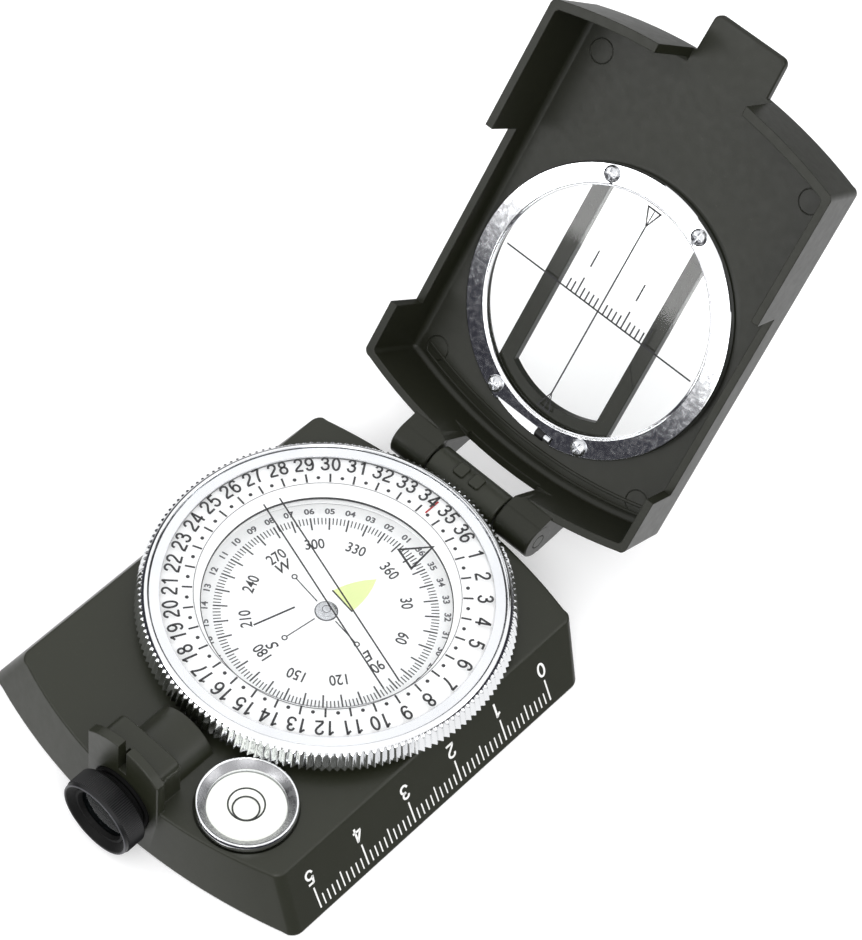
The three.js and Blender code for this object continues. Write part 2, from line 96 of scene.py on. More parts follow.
class MB:
    """Collects pieces of mesh, in millimetres."""
    def __init__(self):
        self.v, self.f = [], []

    def add(self, verts, faces, M=None):
        n = len(self.v)
        self.v += [tuple(M @ Vector(p)) if M is not None else tuple(p) for p in verts]
        self.f += [tuple(n + i for i in f) for f in faces]
        return self

    def box(self, x0, x1, y0, y1, z0, z1, M=None):
        v = [(x, y, z) for z in (z0, z1) for y in (y0, y1) for x in (x0, x1)]
        f = [(0, 2, 3, 1), (4, 5, 7, 6), (0, 1, 5, 4), (2, 6, 7, 3), (0, 4, 6, 2), (1, 3, 7, 5)]
        return self.add(v, f, M)

    def rings(self, rings, M=None, cap=True, loop=False):
        m = len(rings[0]); v = [p for r in rings for p in r]; f = []
        k = len(rings)
        for j in range(k if loop else k - 1):
            a, b = j * m, ((j + 1) % k) * m
            for i in range(m):
                f.append((a + i, a + (i + 1) % m, b + (i + 1) % m, b + i))
        if cap and not loop:
            f.append(tuple(reversed(range(m)))); f.append(tuple((k - 1) * m + i for i in range(m)))
        return self.add(v, f, M)

    def prism(self, pts, z0, z1, r0=0.0, r1=0.0, M=None, n=3, taper=None):
        """Outline pulled up from z0 to z1, its two ends rounded by r0 and r1."""
        lv = []
        for k in range(n + 1 if r0 else 1):
            q = math.pi / 2 * k / n if r0 else 0
            lv.append((z0 + r0 * (1 - math.sin(q)) if r0 else z0, r0 * (1 - math.cos(q)) if r0 else 0)) if not r0 else lv.append((z0 + r0 * (1 - math.cos(q)), r0 * (1 - math.sin(q))))
        for k in range(n + 1 if r1 else 1):
            q = math.pi / 2 * k / n if r1 else 0
            lv.append((z1 - r1 * (1 - math.sin(q)), r1 * (1 - math.cos(q))) if r1 else (z1, 0))
        rs = []
        for z, d in lv:
            o = offset(pts, d) if d > 0 else pts
            if taper:
                o = [taper(x, y, (z - z0) / (z1 - z0)) for x, y in o]
            rs.append([(x, y, z) for x, y in o])
        return self.rings(rs, M)

    def lathe(self, prof, segs=128, M=None):
        """Turned about Z from a closed [(r, z)] profile, or one that starts and ends on the axis."""
        on_axis = prof[0][0] < 1e-6
        if on_axis:
            v, f, idx = [], [], []
            for r, z in prof:
                if r < 1e-6:
                    idx.append([len(v)]); v.append((0, 0, z))
                else:
                    idx.append(list(range(len(v), len(v) + segs)))
                    v += [(r * math.cos(2 * math.pi * i / segs), r * math.sin(2 * math.pi * i / segs), z) for i in range(segs)]
            for a, b in zip(idx, idx[1:]):
                for i in range(segs):
                    j = (i + 1) % segs
                    if len(a) == 1: f.append((a[0], b[j], b[i]))
                    elif len(b) == 1: f.append((a[i], a[j], b[0]))
                    else: f.append((a[i], a[j], b[j], b[i]))
            return self.add(v, f, M)
        rs = [[(r * math.cos(2 * math.pi * i / segs), r * math.sin(2 * math.pi * i / segs), z) for i in range(segs)] for r, z in prof]
        return self.rings(rs, M, loop=True)

    def annulus(self, r0, r1, z0, z1, segs=180, M=None):
        return self.lathe([(r0, z0), (r1, z0), (r1, z1), (r0, z1)], segs, M)

    def disc(self, r, z0, z1, segs=96, M=None):
        return self.lathe([(0, z0), (r, z0), (r, z1), (0, z1)], segs, M)

    def bar(self, p, q, w, z0, z1, M=None):
        """A flat printed line from p to q, w wide."""
        a, b = Vector(p), Vector(q)
        t = (b - a).normalized(); s = Vector((-t.y, t.x)) * w / 2
        c = [a - s, b - s, b + s, a + s]
        v = [(k.x, k.y, z0) for k in c] + [(k.x, k.y, z1) for k in c]
        return self.add(v, [(3, 2, 1, 0), (4, 5, 6, 7), (0, 1, 5, 4), (1, 2, 6, 5), (2, 3, 7, 6), (3, 0, 4, 7)], M)

    def outline(self, pts, w, z0, z1, M=None):
        inner = offset(pts, w / 2); outer = offset(pts, -w / 2)
        m = len(pts)
        v = [(x, y, z0) for x, y in outer] + [(x, y, z0) for x, y in inner] + [(x, y, z1) for x, y in outer] + [(x, y, z1) for x, y in inner]
        f = []
        for i in range(m):
            j = (i + 1) % m
            f += [(m + i, m + j, j, i), (2 * m + i, 2 * m + j, 3 * m + j, 3 * m + i), (i, j, 2 * m + j, 2 * m + i), (m + j, m + i, 3 * m + i, 3 * m + j)]
        return self.add(v, f, M)

    def text(self, s, height, M, thick=0.04, weight=0.0, squeeze=1.0, shear=0.0):
        v, f, (x0, x1) = glyphs(s, weight, shear)
        k = height / CAP
        cx = (x0 + x1) / 2
        return self.add([((x - cx) * k * squeeze, (y - CAP / 2) * k, z * thick / 0.02) for x, y, z in v], f, M)

    def figures(self, s, height, M, weight=0.125, squeeze=1.0, z0=-0.01, z1=0.01):
        """Plain figures drawn with one pen width, centred on the origin of M."""
        x = -(len(s) - 1) * 0.76 / 2
        for ch in s:
            for path, smooth_, closed in STROKES[ch]:
                pts = curve(path, closed) if smooth_ else path
                n = len(pts); L, R = [], []
                for i, (px, py) in enumerate(pts):
                    if closed: a, b = pts[i - 1], pts[(i + 1) % n]
                    else: a, b = pts[max(0, i - 1)], pts[min(n - 1, i + 1)]
                    t = Vector((b[0] - a[0], b[1] - a[1])).normalized(); h = weight / 2
                    # the pen keeps its width across the squeeze
                    L.append((((px - 0.31 + x) * squeeze * height) - t.y * h * height, (py - 0.5) * height + t.x * h * height))
                    R.append((((px - 0.31 + x) * squeeze * height) + t.y * h * height, (py - 0.5) * height - t.x * h * height))
                v, f, m = [], [], n if closed else n - 1
                for (ax, ay), (bx, by) in zip(L, R): v += [(ax, ay, z1), (bx, by, z1), (bx, by, z0), (ax, ay, z0)]
                for i in range(m):
                    p, q = 4 * i, 4 * ((i + 1) % n)
                    f += [(p + k, p + (k + 1) % 4, q + (k + 1) % 4, q + k) for k in range(4)]
                if not closed: f += [(3, 2, 1, 0), tuple(4 * (n - 1) + k for k in range(4))]
                self.add(v, f, M)
            x += 0.76
        return self

    def obj(self, name, mat, M=None, smooth=32, tidy=True):
        me = bpy.data.meshes.new(name)
        T = Matrix.Scale(S, 4) @ (M or Matrix.Identity(4))
        me.from_pydata([tuple(T @ Vector(p)) for p in self.v], [], self.f)
        if tidy:
            bm = bmesh.new(); bm.from_mesh(me)
            bmesh.ops.remove_doubles(bm, verts=bm.verts, dist=1e-8)
            bmesh.ops.recalc_face_normals(bm, faces=bm.faces)
            bm.to_mesh(me); bm.free()
        ob = bpy.data.objects.new(name, me)
        COLL.objects.link(ob)
        finish(ob, mat, smooth)
        return ob


def finish(ob, mat, smooth=32):
    me = ob.data
    me.materials.clear()
    for m in (mat if isinstance(mat, (list, tuple)) else [mat]):
        me.materials.append(m)
    if smooth is not None:
        for p in me.polygons: p.use_smooth = True
        me.set_sharp_from_angle(angle=math.radians(smooth))
        if ob.name not in NODE_NAMES:
            w = ob.modifiers.new("face_normals", 'WEIGHTED_NORMAL'); w.keep_sharp = True; w.weight = 60
    return ob


def curve(p, closed=False, n=5):
    """Smooth line through the points."""
    out, c = [], len(p)
    for i in range(c if closed else c - 1):
        if closed: a, b, d, e = p[i - 1], p[i], p[(i + 1) % c], p[(i + 2) % c]
        else: a, b, d, e = p[max(0, i - 1)], p[i], p[i + 1], p[min(c - 1, i + 2)]
        for k in range(n):
            t = k / n
            out.append(tuple(0.5 * (2 * b[j] + (d[j] - a[j]) * t + (2 * a[j] - 5 * b[j] + 4 * d[j] - e[j]) * t * t + (3 * b[j] - a[j] - 3 * d[j] + e[j]) * t ** 3) for j in (0, 1)))
    return out if closed else out + [p[-1]]


def oval(cx, cy, rx, ry, n=12):
    return [(cx + rx * math.sin(2 * math.pi * i / n), cy + ry * math.cos(2 * math.pi * i / n)) for i in range(n)]


SIX = [(0.545, 0.765), (0.48, 0.885), (0.34, 0.937), (0.17, 0.86), (0.085, 0.66), (0.072, 0.42), (0.115, 0.19), (0.21, 0.09), (0.325, 0.063), (0.48, 0.135), (0.552, 0.32), (0.48, 0.51), (0.325, 0.58), (0.17, 0.505), (0.09, 0.36)]
STROKES = {
    "0": [(oval(0.31, 0.5, 0.235, 0.437), True, True)],
    "1": [([(0.385, 0.0), (0.385, 1.0)], False, False), ([(0.13, 0.755), (0.26, 0.83), (0.345, 0.925), (0.365, 0.97)], True, False)],
    "2": [([(0.075, 0.70), (0.13, 0.865), (0.31, 0.937), (0.49, 0.865), (0.54, 0.72), (0.49, 0.57), (0.33, 0.40), (0.16, 0.24), (0.075, 0.075)], True, False), ([(0.035, 0.063), (0.59, 0.063)], False, False)],
    "3": [([(0.075, 0.745), (0.145, 0.885), (0.30, 0.937), (0.45, 0.875), (0.50, 0.74), (0.43, 0.60), (0.23, 0.548)], True, False), ([(0.26, 0.546), (0.43, 0.52), (0.535, 0.42), (0.55, 0.28), (0.48, 0.13), (0.31, 0.063), (0.14, 0.12), (0.058, 0.27)], True, False)],
    "4": [([(0.44, 0.0), (0.44, 0.985)], False, False), ([(0.425, 0.955), (0.065, 0.30)], False, False), ([(0.015, 0.275), (0.62, 0.275)], False, False)],
    "5": [([(0.145, 0.932), (0.555, 0.932)], False, False), ([(0.175, 0.96), (0.10, 0.49)], False, False), ([(0.10, 0.495), (0.19, 0.585), (0.33, 0.615), (0.48, 0.54), (0.55, 0.35), (0.49, 0.16), (0.31, 0.063), (0.14, 0.12), (0.06, 0.27)], True, False)],
    "6": [(SIX, True, False)],
    "7": [([(0.045, 0.932), (0.575, 0.932)], False, False), ([(0.535, 0.92), (0.41, 0.74), (0.30, 0.49), (0.235, 0.25), (0.21, 0.0)], True, False)],
    "8": [(oval(0.31, 0.742, 0.20, 0.195), True, True), (oval(0.31, 0.30, 0.24, 0.237), True, True)],
    "9": [([(0.62 - x, 1 - y) for x, y in SIX], True, False)],
}

_G = {}
CAP = 1.0
def glyphs(s, weight=0.0, shear=0.0):
    key = (s, weight, shear)
    if key not in _G:
        cu = bpy.data.curves.new("glyph", 'FONT')
        cu.body = s; cu.size = 1.0; cu.extrude = 0.01; cu.offset = weight; cu.shear = shear
        cu.resolution_u = 4
        ob = bpy.data.objects.new("glyph", cu); COLL.objects.link(ob)
        me = bpy.data.meshes.new_from_object(ob.evaluated_get(bpy.context.evaluated_depsgraph_get()))
        v = [tuple(p.co) for p in me.vertices]; f = [tuple(p.vertices) for p in me.polygons]
        bpy.data.objects.remove(ob); bpy.data.curves.remove(cu); bpy.data.meshes.remove(me)
        xs = [p[0] for p in v]
        _G[key] = (v, f, (min(xs), max(xs)), (min(p[1] for p in v), max(p[1] for p in v)))
    return _G[key][:3]


glyphs("8"); _lo, _hi = _G[("8", 0.0, 0.0)][3]; CAP = _hi


def volume(me):
    bm = bmesh.new(); bm.from_mesh(me); v = bm.calc_volume(signed=True); bm.free()
    return v


def boolean(a, b, op='DIFFERENCE'):
    """Exact cut or union; a result whose volume can't be right is made again another way."""
    va, vb = volume(a.data), volume(b.data)
    tries = []
    for solver, tolerant, nudge in (('EXACT', False, 0), ('EXACT', True, 0), ('EXACT', False, 1), ('FAST', False, 0), ('EXACT', True, 2)):
        b.location = Vector((3.1e-6, 2.3e-6, 1.7e-6)) * nudge
        m = a.modifiers.new("b", 'BOOLEAN'); m.object = b; m.operation = op; m.solver = solver
        if solver == 'EXACT': m.use_hole_tolerant = tolerant
        dg = bpy.context.evaluated_depsgraph_get(); dg.update()
        me = bpy.data.meshes.new_from_object(a.evaluated_get(dg))
        a.modifiers.clear(); v = volume(me)
        lo, hi = (va - vb, va) if op == 'DIFFERENCE' else (max(va, vb), va + vb)
        e = 0.002 * va
        tries.append((max(0, lo - v, v - hi), me))
        if lo - e <= v <= hi + e: break
    tries.sort(key=lambda t: t[0])
    if tries[0][0] > 0.002 * va: print("boolean off by", round(tries[0][0] * 1e9, 1), "mm3 on", a.name)
    old = a.data; a.data = tries[0][1]; bpy.data.meshes.remove(old)
    for _, me in tries[1:]: bpy.data.meshes.remove(me)
    d = b.data; bpy.data.objects.remove(b); bpy.data.meshes.remove(d)
    return a


def cut(a, mb, M=None):
    return boolean(a, mb.obj("tool", PLAIN, M, None))


def join(a, mb, M=None):
    return boolean(a, mb.obj("tool", PLAIN, M, None), 'UNION')


def split_faces(ob):
    """Faces with more than four corners are divided, so that a notched face stays clear of its notch."""
    bm = bmesh.new(); bm.from_mesh(ob.data)
    bmesh.ops.remove_doubles(bm, verts=bm.verts, dist=5e-6)
    bmesh.ops.dissolve_degenerate(bm, dist=2e-6, edges=bm.edges)
    bmesh.ops.holes_fill(bm, edges=[e for e in bm.edges if e.is_boundary], sides=5)
    bmesh.ops.triangulate(bm, faces=[f for f in bm.faces if len(f.verts) > 4], quad_method='BEAUTY', ngon_method='BEAUTY')
    for _ in range(6):
        # a strip folded flat on its neighbour is closed up by joining its own corners
        folded = {v for e in bm.edges if len(e.link_faces) == 2 and e.calc_face_angle(0) > 2.9 for f in e.link_faces for v in f.verts}
        if not folded: break
        bmesh.ops.remove_doubles(bm, verts=list(folded), dist=9e-5)
        bmesh.ops.dissolve_degenerate(bm, dist=2e-6, edges=bm.edges)
    loose = [f for f in bm.faces if all(len(e.link_faces) == 1 for e in f.edges)]
    bmesh.ops.delete(bm, geom=loose, context='FACES')
    bmesh.ops.recalc_face_normals(bm, faces=bm.faces)
    bm.to_mesh(ob.data); bm.free()


def soften(ob, width, segs=2, angle=38):
    """Rounds the sharp edges of a cast piece."""
    bm = bmesh.new(); bm.from_mesh(ob.data)
    bmesh.ops.remove_doubles(bm, verts=bm.verts, dist=4e-6)
    bmesh.ops.dissolve_degenerate(bm, dist=3e-6, edges=bm.edges)
    bmesh.ops.dissolve_limit(bm, angle_limit=math.radians(0.6), verts=bm.verts, edges=bm.edges)
    bm.to_mesh(ob.data); bm.free()
    m = ob.modifiers.new("r", 'BEVEL'); m.width = width * S; m.segments = segs; m.limit_method = 'ANGLE'
    m.angle_limit = math.radians(angle); m.use_clamp_overlap = True; m.miter_outer = 'MITER_ARC'
    dg = bpy.context.evaluated_depsgraph_get(); dg.update()
    me = bpy.data.meshes.new_from_object(ob.evaluated_get(dg))
    ob.modifiers.clear(); ob.data = me
    return ob


# ----------------------------------------------------------------- materials
def srgb(r, g, b):
    return tuple((c / 255 / 12.92 if c / 255 <= 0.04045 else ((c / 255 + 0.055) / 1.055) ** 2.4) for c in (r, g, b)) + (1.0,)


def material(name):
    m = bpy.data.materials.new(name); m.use_nodes = True
    nt = m.node_tree
    return m, nt, nt.nodes, nt.links, nt.nodes["Principled BSDF"]


def noise(nt, scale, detail=4, rough=0.6, coord='Object'):
    tc = nt.nodes.new('ShaderNodeTexCoord'); n = nt.nodes.new('ShaderNodeTexNoise')
    n.inputs['Scale'].default_value = scale; n.inputs['Detail'].default_value = detail; n.inputs['Roughness'].default_value = rough
    nt.links.new(tc.outputs[coord], n.inputs['Vector'])
    return n


def ramp(nt, src, stops):
    r = nt.nodes.new('ShaderNodeValToRGB')
    while len(r.color_ramp.elements) < len(stops): r.color_ramp.elements.new(0.5)
    for e, (p, c) in zip(r.color_ramp.elements, stops):
        e.position = p; e.color = c if len(c) == 4 else (*c, 1)
    nt.links.new(src, r.inputs['Fac'])
    return r


def maprange(nt, src, a, b, c, d):
    m = nt.nodes.new('ShaderNodeMapRange')
    for k, v in zip(('From Min', 'From Max', 'To Min', 'To Max'), (a, b, c, d)): m.inputs[k].default_value = v
    nt.links.new(src, m.inputs['Value'])
    return m


def bump(nt, src, dist, strength=1.0, normal=None):
    b = nt.nodes.new('ShaderNodeBump'); b.inputs['Distance'].default_value = dist; b.inputs['Strength'].default_value = strength
    nt.links.new(src, b.inputs['Height'])
    if normal: nt.links.new(normal, b.inputs['Normal'])
    return b


def rounded(nt, radius):
    b = nt.nodes.new('ShaderNodeBevel'); b.samples = 4; b.inputs['Radius'].default_value = radius
    return b


def paint(name, base, worn, rough=0.42, edge=0.00022, grain=1.0, gloss=0.40):
    """Sprayed satin enamel: fine orange peel, slow variation in tone, worn flecks at random, edges rounded in the
    shading.
    """
    m, nt, N, L, P = material(name)
    big = noise(nt, 55, 3); fine = noise(nt, 3600, 2, 0.5); mid = noise(nt, 700, 3, 0.55)
    col = ramp(nt, big.outputs['Fac'], [(0.30, [c * 0.97 for c in base[:3]]), (0.70, [c * 1.03 for c in base[:3]])])
    fleck = ramp(nt, noise(nt, 2400, 2, 0.5).outputs['Fac'], [(0.66, (0, 0, 0)), (0.80, (0.35, 0.35, 0.35))])
    mix = N.new('ShaderNodeMix'); mix.data_type = 'RGBA'
    L.new(fleck.outputs['Color'], mix.inputs['Factor']); L.new(col.outputs['Color'], mix.inputs['A']); mix.inputs['B'].default_value = worn
    L.new(mix.outputs['Result'], P.inputs['Base Color'])
    r = maprange(nt, mid.outputs['Fac'], 0.3, 0.7, rough - 0.02, rough + 0.03)
    L.new(r.outputs[0], P.inputs['Roughness'])
    rb = rounded(nt, edge)
    b1 = bump(nt, mid.outputs['Fac'], 0.000006 * grain, 0.4, rb.outputs['Normal'])
    b2 = bump(nt, fine.outputs['Fac'], 0.000006 * grain, 0.5, b1.outputs['Normal'])
    L.new(b2.outputs['Normal'], P.inputs['Normal'])
    P.inputs['Specular IOR Level'].default_value = gloss
    return m


def metal(name, color, rough=0.09, rough2=0.16, scale=1500, bmp=0.000004, edge=0.0001):
    m, nt, N, L, P = material(name)
    n = noise(nt, scale, 3); big = noise(nt, 90, 2)
    col = ramp(nt, big.outputs['Fac'], [(0.3, [c * 0.95 for c in color[:3]]), (0.7, [min(1, c * 1.03) for c in color[:3]])])
    L.new(col.outputs['Color'], P.inputs['Base Color'])
    P.inputs['Metallic'].default_value = 1.0
    r = maprange(nt, n.outputs['Fac'], 0.3, 0.7, rough, rough2); L.new(r.outputs[0], P.inputs['Roughness'])
    rb = rounded(nt, edge)
    b = bump(nt, n.outputs['Fac'], bmp, 0.5, rb.outputs['Normal']); L.new(b.outputs['Normal'], P.inputs['Normal'])
    return m


def plastic(name, color, rough=0.4, scale=1200, bmp=0.00001, spec=0.4, vary=0.05, coat=0.0):
    m, nt, N, L, P = material(name)
    n = noise(nt, scale, 3); big = noise(nt, 120, 3)
    col = ramp(nt, big.outputs['Fac'], [(0.3, [c * (1 - vary) for c in color[:3]]), (0.7, [min(1, c * (1 + vary)) for c in color[:3]])])
    L.new(col.outputs['Color'], P.inputs['Base Color'])
    r = maprange(nt, n.outputs['Fac'], 0.3, 0.7, rough - 0.04, rough + 0.05); L.new(r.outputs[0], P.inputs['Roughness'])
    b = bump(nt, n.outputs['Fac'], bmp, 0.5); L.new(b.outputs['Normal'], P.inputs['Normal'])
    P.inputs['Specular IOR Level'].default_value = spec
    P.inputs['Coat Weight'].default_value = coat
    return m


def clear(name, tint=(0.985, 0.995, 0.995), ior=1.49, rough=0.015, haze=0.0, gloss=1.0):
    """Clear window: light goes straight through, the surface keeps its reflection."""
    m, nt, N, L, P = material(name)
    N.remove(P); out = N["Material Output"]
    tr = N.new('ShaderNodeBsdfTransparent'); gl = N.new('ShaderNodeBsdfGlossy'); mix = N.new('ShaderNodeMixShader'); lw = N.new('ShaderNodeLayerWeight')
    lw.inputs['Blend'].default_value = 0.5
    f0 = ((ior - 1) / (ior + 1)) ** 2
    p5 = N.new('ShaderNodeMath'); p5.operation = 'POWER'; p5.inputs[1].default_value = 5.0; L.new(lw.outputs['Facing'], p5.inputs[0])
    fr = N.new('ShaderNodeMath'); fr.operation = 'MULTIPLY_ADD'; fr.inputs[1].default_value = 1 - f0; fr.inputs[2].default_value = f0; L.new(p5.outputs[0], fr.inputs[0])
    smudge = noise(nt, 260, 4)
    t = ramp(nt, smudge.outputs['Fac'], [(0.3, [c * (1 - haze) for c in tint]), (0.7, tint)]); L.new(t.outputs['Color'], tr.inputs['Color'])
    r = maprange(nt, smudge.outputs['Fac'], 0.3, 0.8, rough, rough + 0.05); L.new(r.outputs[0], gl.inputs['Roughness'])
    k = N.new('ShaderNodeMath'); k.operation = 'MULTIPLY'; k.inputs[1].default_value = gloss; L.new(fr.outputs[0], k.inputs[0])
    L.new(k.outputs[0], mix.inputs['Fac']); L.new(tr.outputs['BSDF'], mix.inputs[1]); L.new(gl.outputs['BSDF'], mix.inputs[2])
    L.new(mix.outputs['Shader'], out.inputs['Surface'])
    return m


def whitened(m, k):
    """Bright white card stock and enamel, given a painted glow: a little emission that lifts the white above what the
    lamps give it.
    """
    P = m.node_tree.nodes["Principled BSDF"]
    P.inputs['Emission Color'].default_value = (1, 1, 1, 1); P.inputs['Emission Strength'].default_value = k
    return m


PLAIN = bpy.data.materials.new("plain")
OLIVE = paint("olive_enamel", (0.0160, 0.0176, 0.0098), (0.04, 0.042, 0.028, 1), rough=0.38)
# The lid gets a darker copy of the base's olive enamel: painted shade, because the lid is the same paint and only looks
# darker for how the light falls on it.
OLIVE_LID_SHADED = paint("olive_enamel_lid_shaded", (0.0128, 0.0138, 0.0080), (0.035, 0.037, 0.025, 1), rough=0.36, gloss=0.32)
BLACK = plastic("black_anodised", (0.0045, 0.0045, 0.005), 0.42, 2500, 0.000010, 0.35, 0.12)
DARK = plastic("dark_blacking", (0.004, 0.004, 0.004), 0.6, 2500, 0.000006, 0.15, 0.1)
CHROME = metal("chrome_plate", (0.86, 0.87, 0.88), 0.07, 0.14)
RINGM = metal("satin_chrome", (0.84, 0.85, 0.87), 0.03, 0.085, 1300, 0.0000022)
LEVELM = metal("dulled_chrome", (0.33, 0.33, 0.34), 0.20, 0.34, 900, 0.000004)
STEEL = metal("screw_steel", (0.66, 0.67, 0.69), 0.18, 0.32, 3000)
DARKSTEEL = metal("dark_steel", (0.10, 0.10, 0.11), 0.30, 0.45, 3000)
BRASS = metal("turned_brass", (0.70, 0.54, 0.25), 0.22, 0.35, 2600)
WHITE = plastic("dial_white", (0.965, 0.965, 0.96), 0.42, 900, 0.000004, 0.35, 0.012)
# The card and dial whites get a painted glow, a small emission on top of their colour.
CARDM = whitened(plastic("card_white", (0.97, 0.97, 0.965), 0.45, 900, 0.000004, 0.3, 0.01), 0.09)
whitened(WHITE, 0.05)
CUPM = plastic("capsule_white", (0.88, 0.885, 0.89), 0.35, 900, 0.000006, 0.45, 0.02)
INK = plastic("black_ink", (0.012, 0.012, 0.014), 0.45, 2500, 0.000003, 0.4, 0.15)
INKGREY = plastic("grey_ink", (0.10, 0.10, 0.11), 0.5, 2500, 0.000003, 0.3, 0.1)
RED = plastic("red_ink", (0.45, 0.03, 0.035), 0.4, 2500, 0.000003, 0.4, 0.08)
LUME = plastic("pale_green_luminous", (0.84, 0.95, 0.42), 0.55, 3200, 0.00001, 0.2, 0.06)
RULE = plastic("white_ruler_ink", (0.80, 0.80, 0.78), 0.5, 2500, 0.000006, 0.3, 0.05)
CLEAR = clear("crystal_clear", (0.997, 0.999, 1.0), haze=0.003, gloss=0.4)
GLASS = clear("window_glass_clear", (0.996, 1.0, 0.999), 1.5, 0.012, 0.003)
LENS = clear("lens_clear", (0.90, 0.96, 0.97), 1.5, 0.03, 0.02, 0.35)
LIQUID = clear("level_liquid", (0.985, 0.992, 0.975), 1.4, 0.01, 0.004, 0.6)

# ------------------------------------------------------------------ base body
def bowed(half, front, fr, rear, rr, corner, n=36, m=8):
    yf = lambda x: front + (fr - math.sqrt(fr * fr - x * x))
    yr = lambda x: rear - (rr - math.sqrt(rr * rr - x * x))
    xe = half - corner
    pts = [(-xe + 2 * xe * i / n, yf(-xe + 2 * xe * i / n)) for i in range(n + 1)]
    pts += arc(xe, yf(xe) + corner, corner, -72, 0, m)[1:]
    pts += arc(xe, yr(xe) - corner, corner, 0, 66, m)[1:]
    pts += [(xe - 2 * xe * i / n, yr(xe - 2 * xe * i / n)) for i in range(n + 1)]
    pts += arc(-xe, yr(xe) - corner, corner, 114, 180, m)[1:]
    pts += arc(-xe, yf(xe) + corner, corner, 180, 252, m)[1:]
    return pts


kT = (29.1 + 42.3) / (29.8 + 43.7); cT = 29.1 - 29.8 * kT
base_taper = lambda x, y, t: (x * (1 + (HT / HB - 1) * t), y * (1 + (kT - 1) * t) + cT * t + (2.7 * t * (x / 29.2) ** 2 if y > 0 else 0))
base = MB().prism(bowed(HB, -43.7, 95, 29.8, 77, 2.2), 0, H, 0.35, 0.45, taper=base_taper, n=4).obj("base_body", PLAIN, None, None)

XZ = Matrix(((1, 0, 0, 0), (0, 0, -1, 0), (0, 1, 0, 0), (0, 0, 0, 1)))      # outline (x, z), pulled towards -Y
plate = [(-7.1, 4.0), (7.1, 4.0), (7.0, 17.35, 0.25)] + [(6.95 * (1 - 2 * i / 22), 20.2 - 2.6 * (1 - 2 * i / 22) ** 2) for i in range(2, 21)] + [(-7.0, 17.35, 0.25)]
join(base, MB().prism(fillet(plate, 5), 40.95, 42.45, 0.0, 0.22, XZ, 3))
block = fillet([(-6.3, 4), (6.3, 4), (6.1, 17.2, 1.7), (-6.1, 17.2, 1.7)], 7)
join(base, MB().prism(block, 36.7, 41.2, 0.35, 0.0, XZ, 3))
tunnel = [(-5.7, 5), (5.7, 5)] + arc(0, 8.2, 5.7, 0, 180, 40)
join(base, MB().prism(tunnel, 29.25, 36.9, 0.0, 0.0, XZ))
YZ = Matrix(((0, 0, 1, 0), (1, 0, 0, 0), (0, 1, 0, 0), (0, 0, 0, 1)))       # outline (y, z), pulled towards +X
knuckle = [(27.4, 3.2), (30.4, 5.2)] + arc(HY, HZ, 3.0, -70, 210, 40) + [(28.6, 9.6), (27.4, 9.6)]
join(base, MB().prism(knuckle, -6.9, 6.9, 0.3, 0.3, YZ, 3))
for s in (-1, 1):
    x0, x1 = (7.0, 14.6) if s > 0 else (-14.6, -7.0)
    cut(base, MB().lathe([(0, x0), (3.45, x0), (3.45, x1), (0, x1)], 64, Matrix.Translation((0, HY, HZ)) @ Matrix.Rotation(math.radians(90), 4, 'Y')))
cut(base, MB().box(-0.8, 0.8, -43.4, -40.2, 14.1, 24))
cut(base, MB().lathe([(0, 36.8), (5.53, 36.8), (5.53, 46), (0, 46)], 72, EYE))
cut(base, MB().lathe([(0, 4.6), (7.15, 4.6), (7.15, 9.7), (7.75, 9.7), (7.75, 14), (0, 14)], 80, LVL))
cut(base, MB().lathe([(0, 2.0), (24.4, 2.0), (24.4, 9.9), (24.8, 10.3), (24.8, 14), (0, 14)], 160))
cut(base, MB().prism(bowed(HB - 2.6, -41.1, 93, 27.8, 75, 1.8), -1, 1.8))
soften(base, 0.22, 3)
finish(base, OLIVE, 40)
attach(base, "base"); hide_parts("base_housing")

# two stops on the middle knuckle
mb = MB()
for x in (-1.75, 1.35):
    mb.prism(fillet([(x - 1.05, -1.2, 0.45), (x + 1.05, -1.2, 0.45), (x + 1.05, 1.2, 0.45), (x - 1.05, 1.2, 0.45)], 4), 2.4, 3.45, 0, 0.35, Matrix.Translation((0, HY, HZ)) @ Matrix.Rotation(math.radians(4), 4, 'X'), 3)
o = mb.obj("hinge_stops", OLIVE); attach(o, "base")

# ruler printed on the sloping side
e = Vector((HB - HT, 0, -H)).normalized(); nrm = Vector((-e.z, 0, e.x)).normalized()
def side(y, s, lift=0.0):
    """A frame on the ruler's face: +X of the print runs to -Y, +Y of it down to the edge."""
    o = Vector((HT, y, H)) + e * s + nrm * lift
    return Matrix(((0, e.x, nrm.x, o.x), (-1, 0, 0, o.y), (0, e.z, nrm.z, o.z), (0, 0, 0, 1)))
mb = MB()
for i in range(51):
    a = 6.05 if i % 10 == 0 else (7.15 if i % 5 == 0 else 7.95)
    M = side(17.45 - i, 0, 0.0)
    mb.bar((0, a), (0, 10.0), 0.27 if i % 10 == 0 else 0.22, -0.02, 0.03, M)
for k in range(6):
    mb.figures(str(k), 2.6, side(17.45 - 10 * k, 4.05, 0.01), 0.14, 0.98, -0.02, 0.03)
o = mb.obj("ruler_print", RULE, None, None, tidy=False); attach(o, "base")

# ------------------------------------------------------- underside and screws
for n, m in (("bottom_cover", OLIVE), ("cover_screw_1", STEEL), ("cover_screw_2", STEEL), ("cover_screw_3", STEEL), ("cover_screw_4", STEEL)):
    finish(node[n], m, 35)
mb = MB()
prof = [(3.3, 0.1), (3.3, 6.1), (2.9, 6.1)]
for k in range(8): prof += [(2.55, 5.85 - k * 0.7), (3.0, 5.5 - k * 0.7)]
prof += [(2.75, 0.1)]
mb.lathe(prof, 72, Matrix.Translation((0, -28.6, 0)))
o = mb.obj("tripod_thread", BRASS, None, 20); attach(o, "base"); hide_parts("tripod_bush")

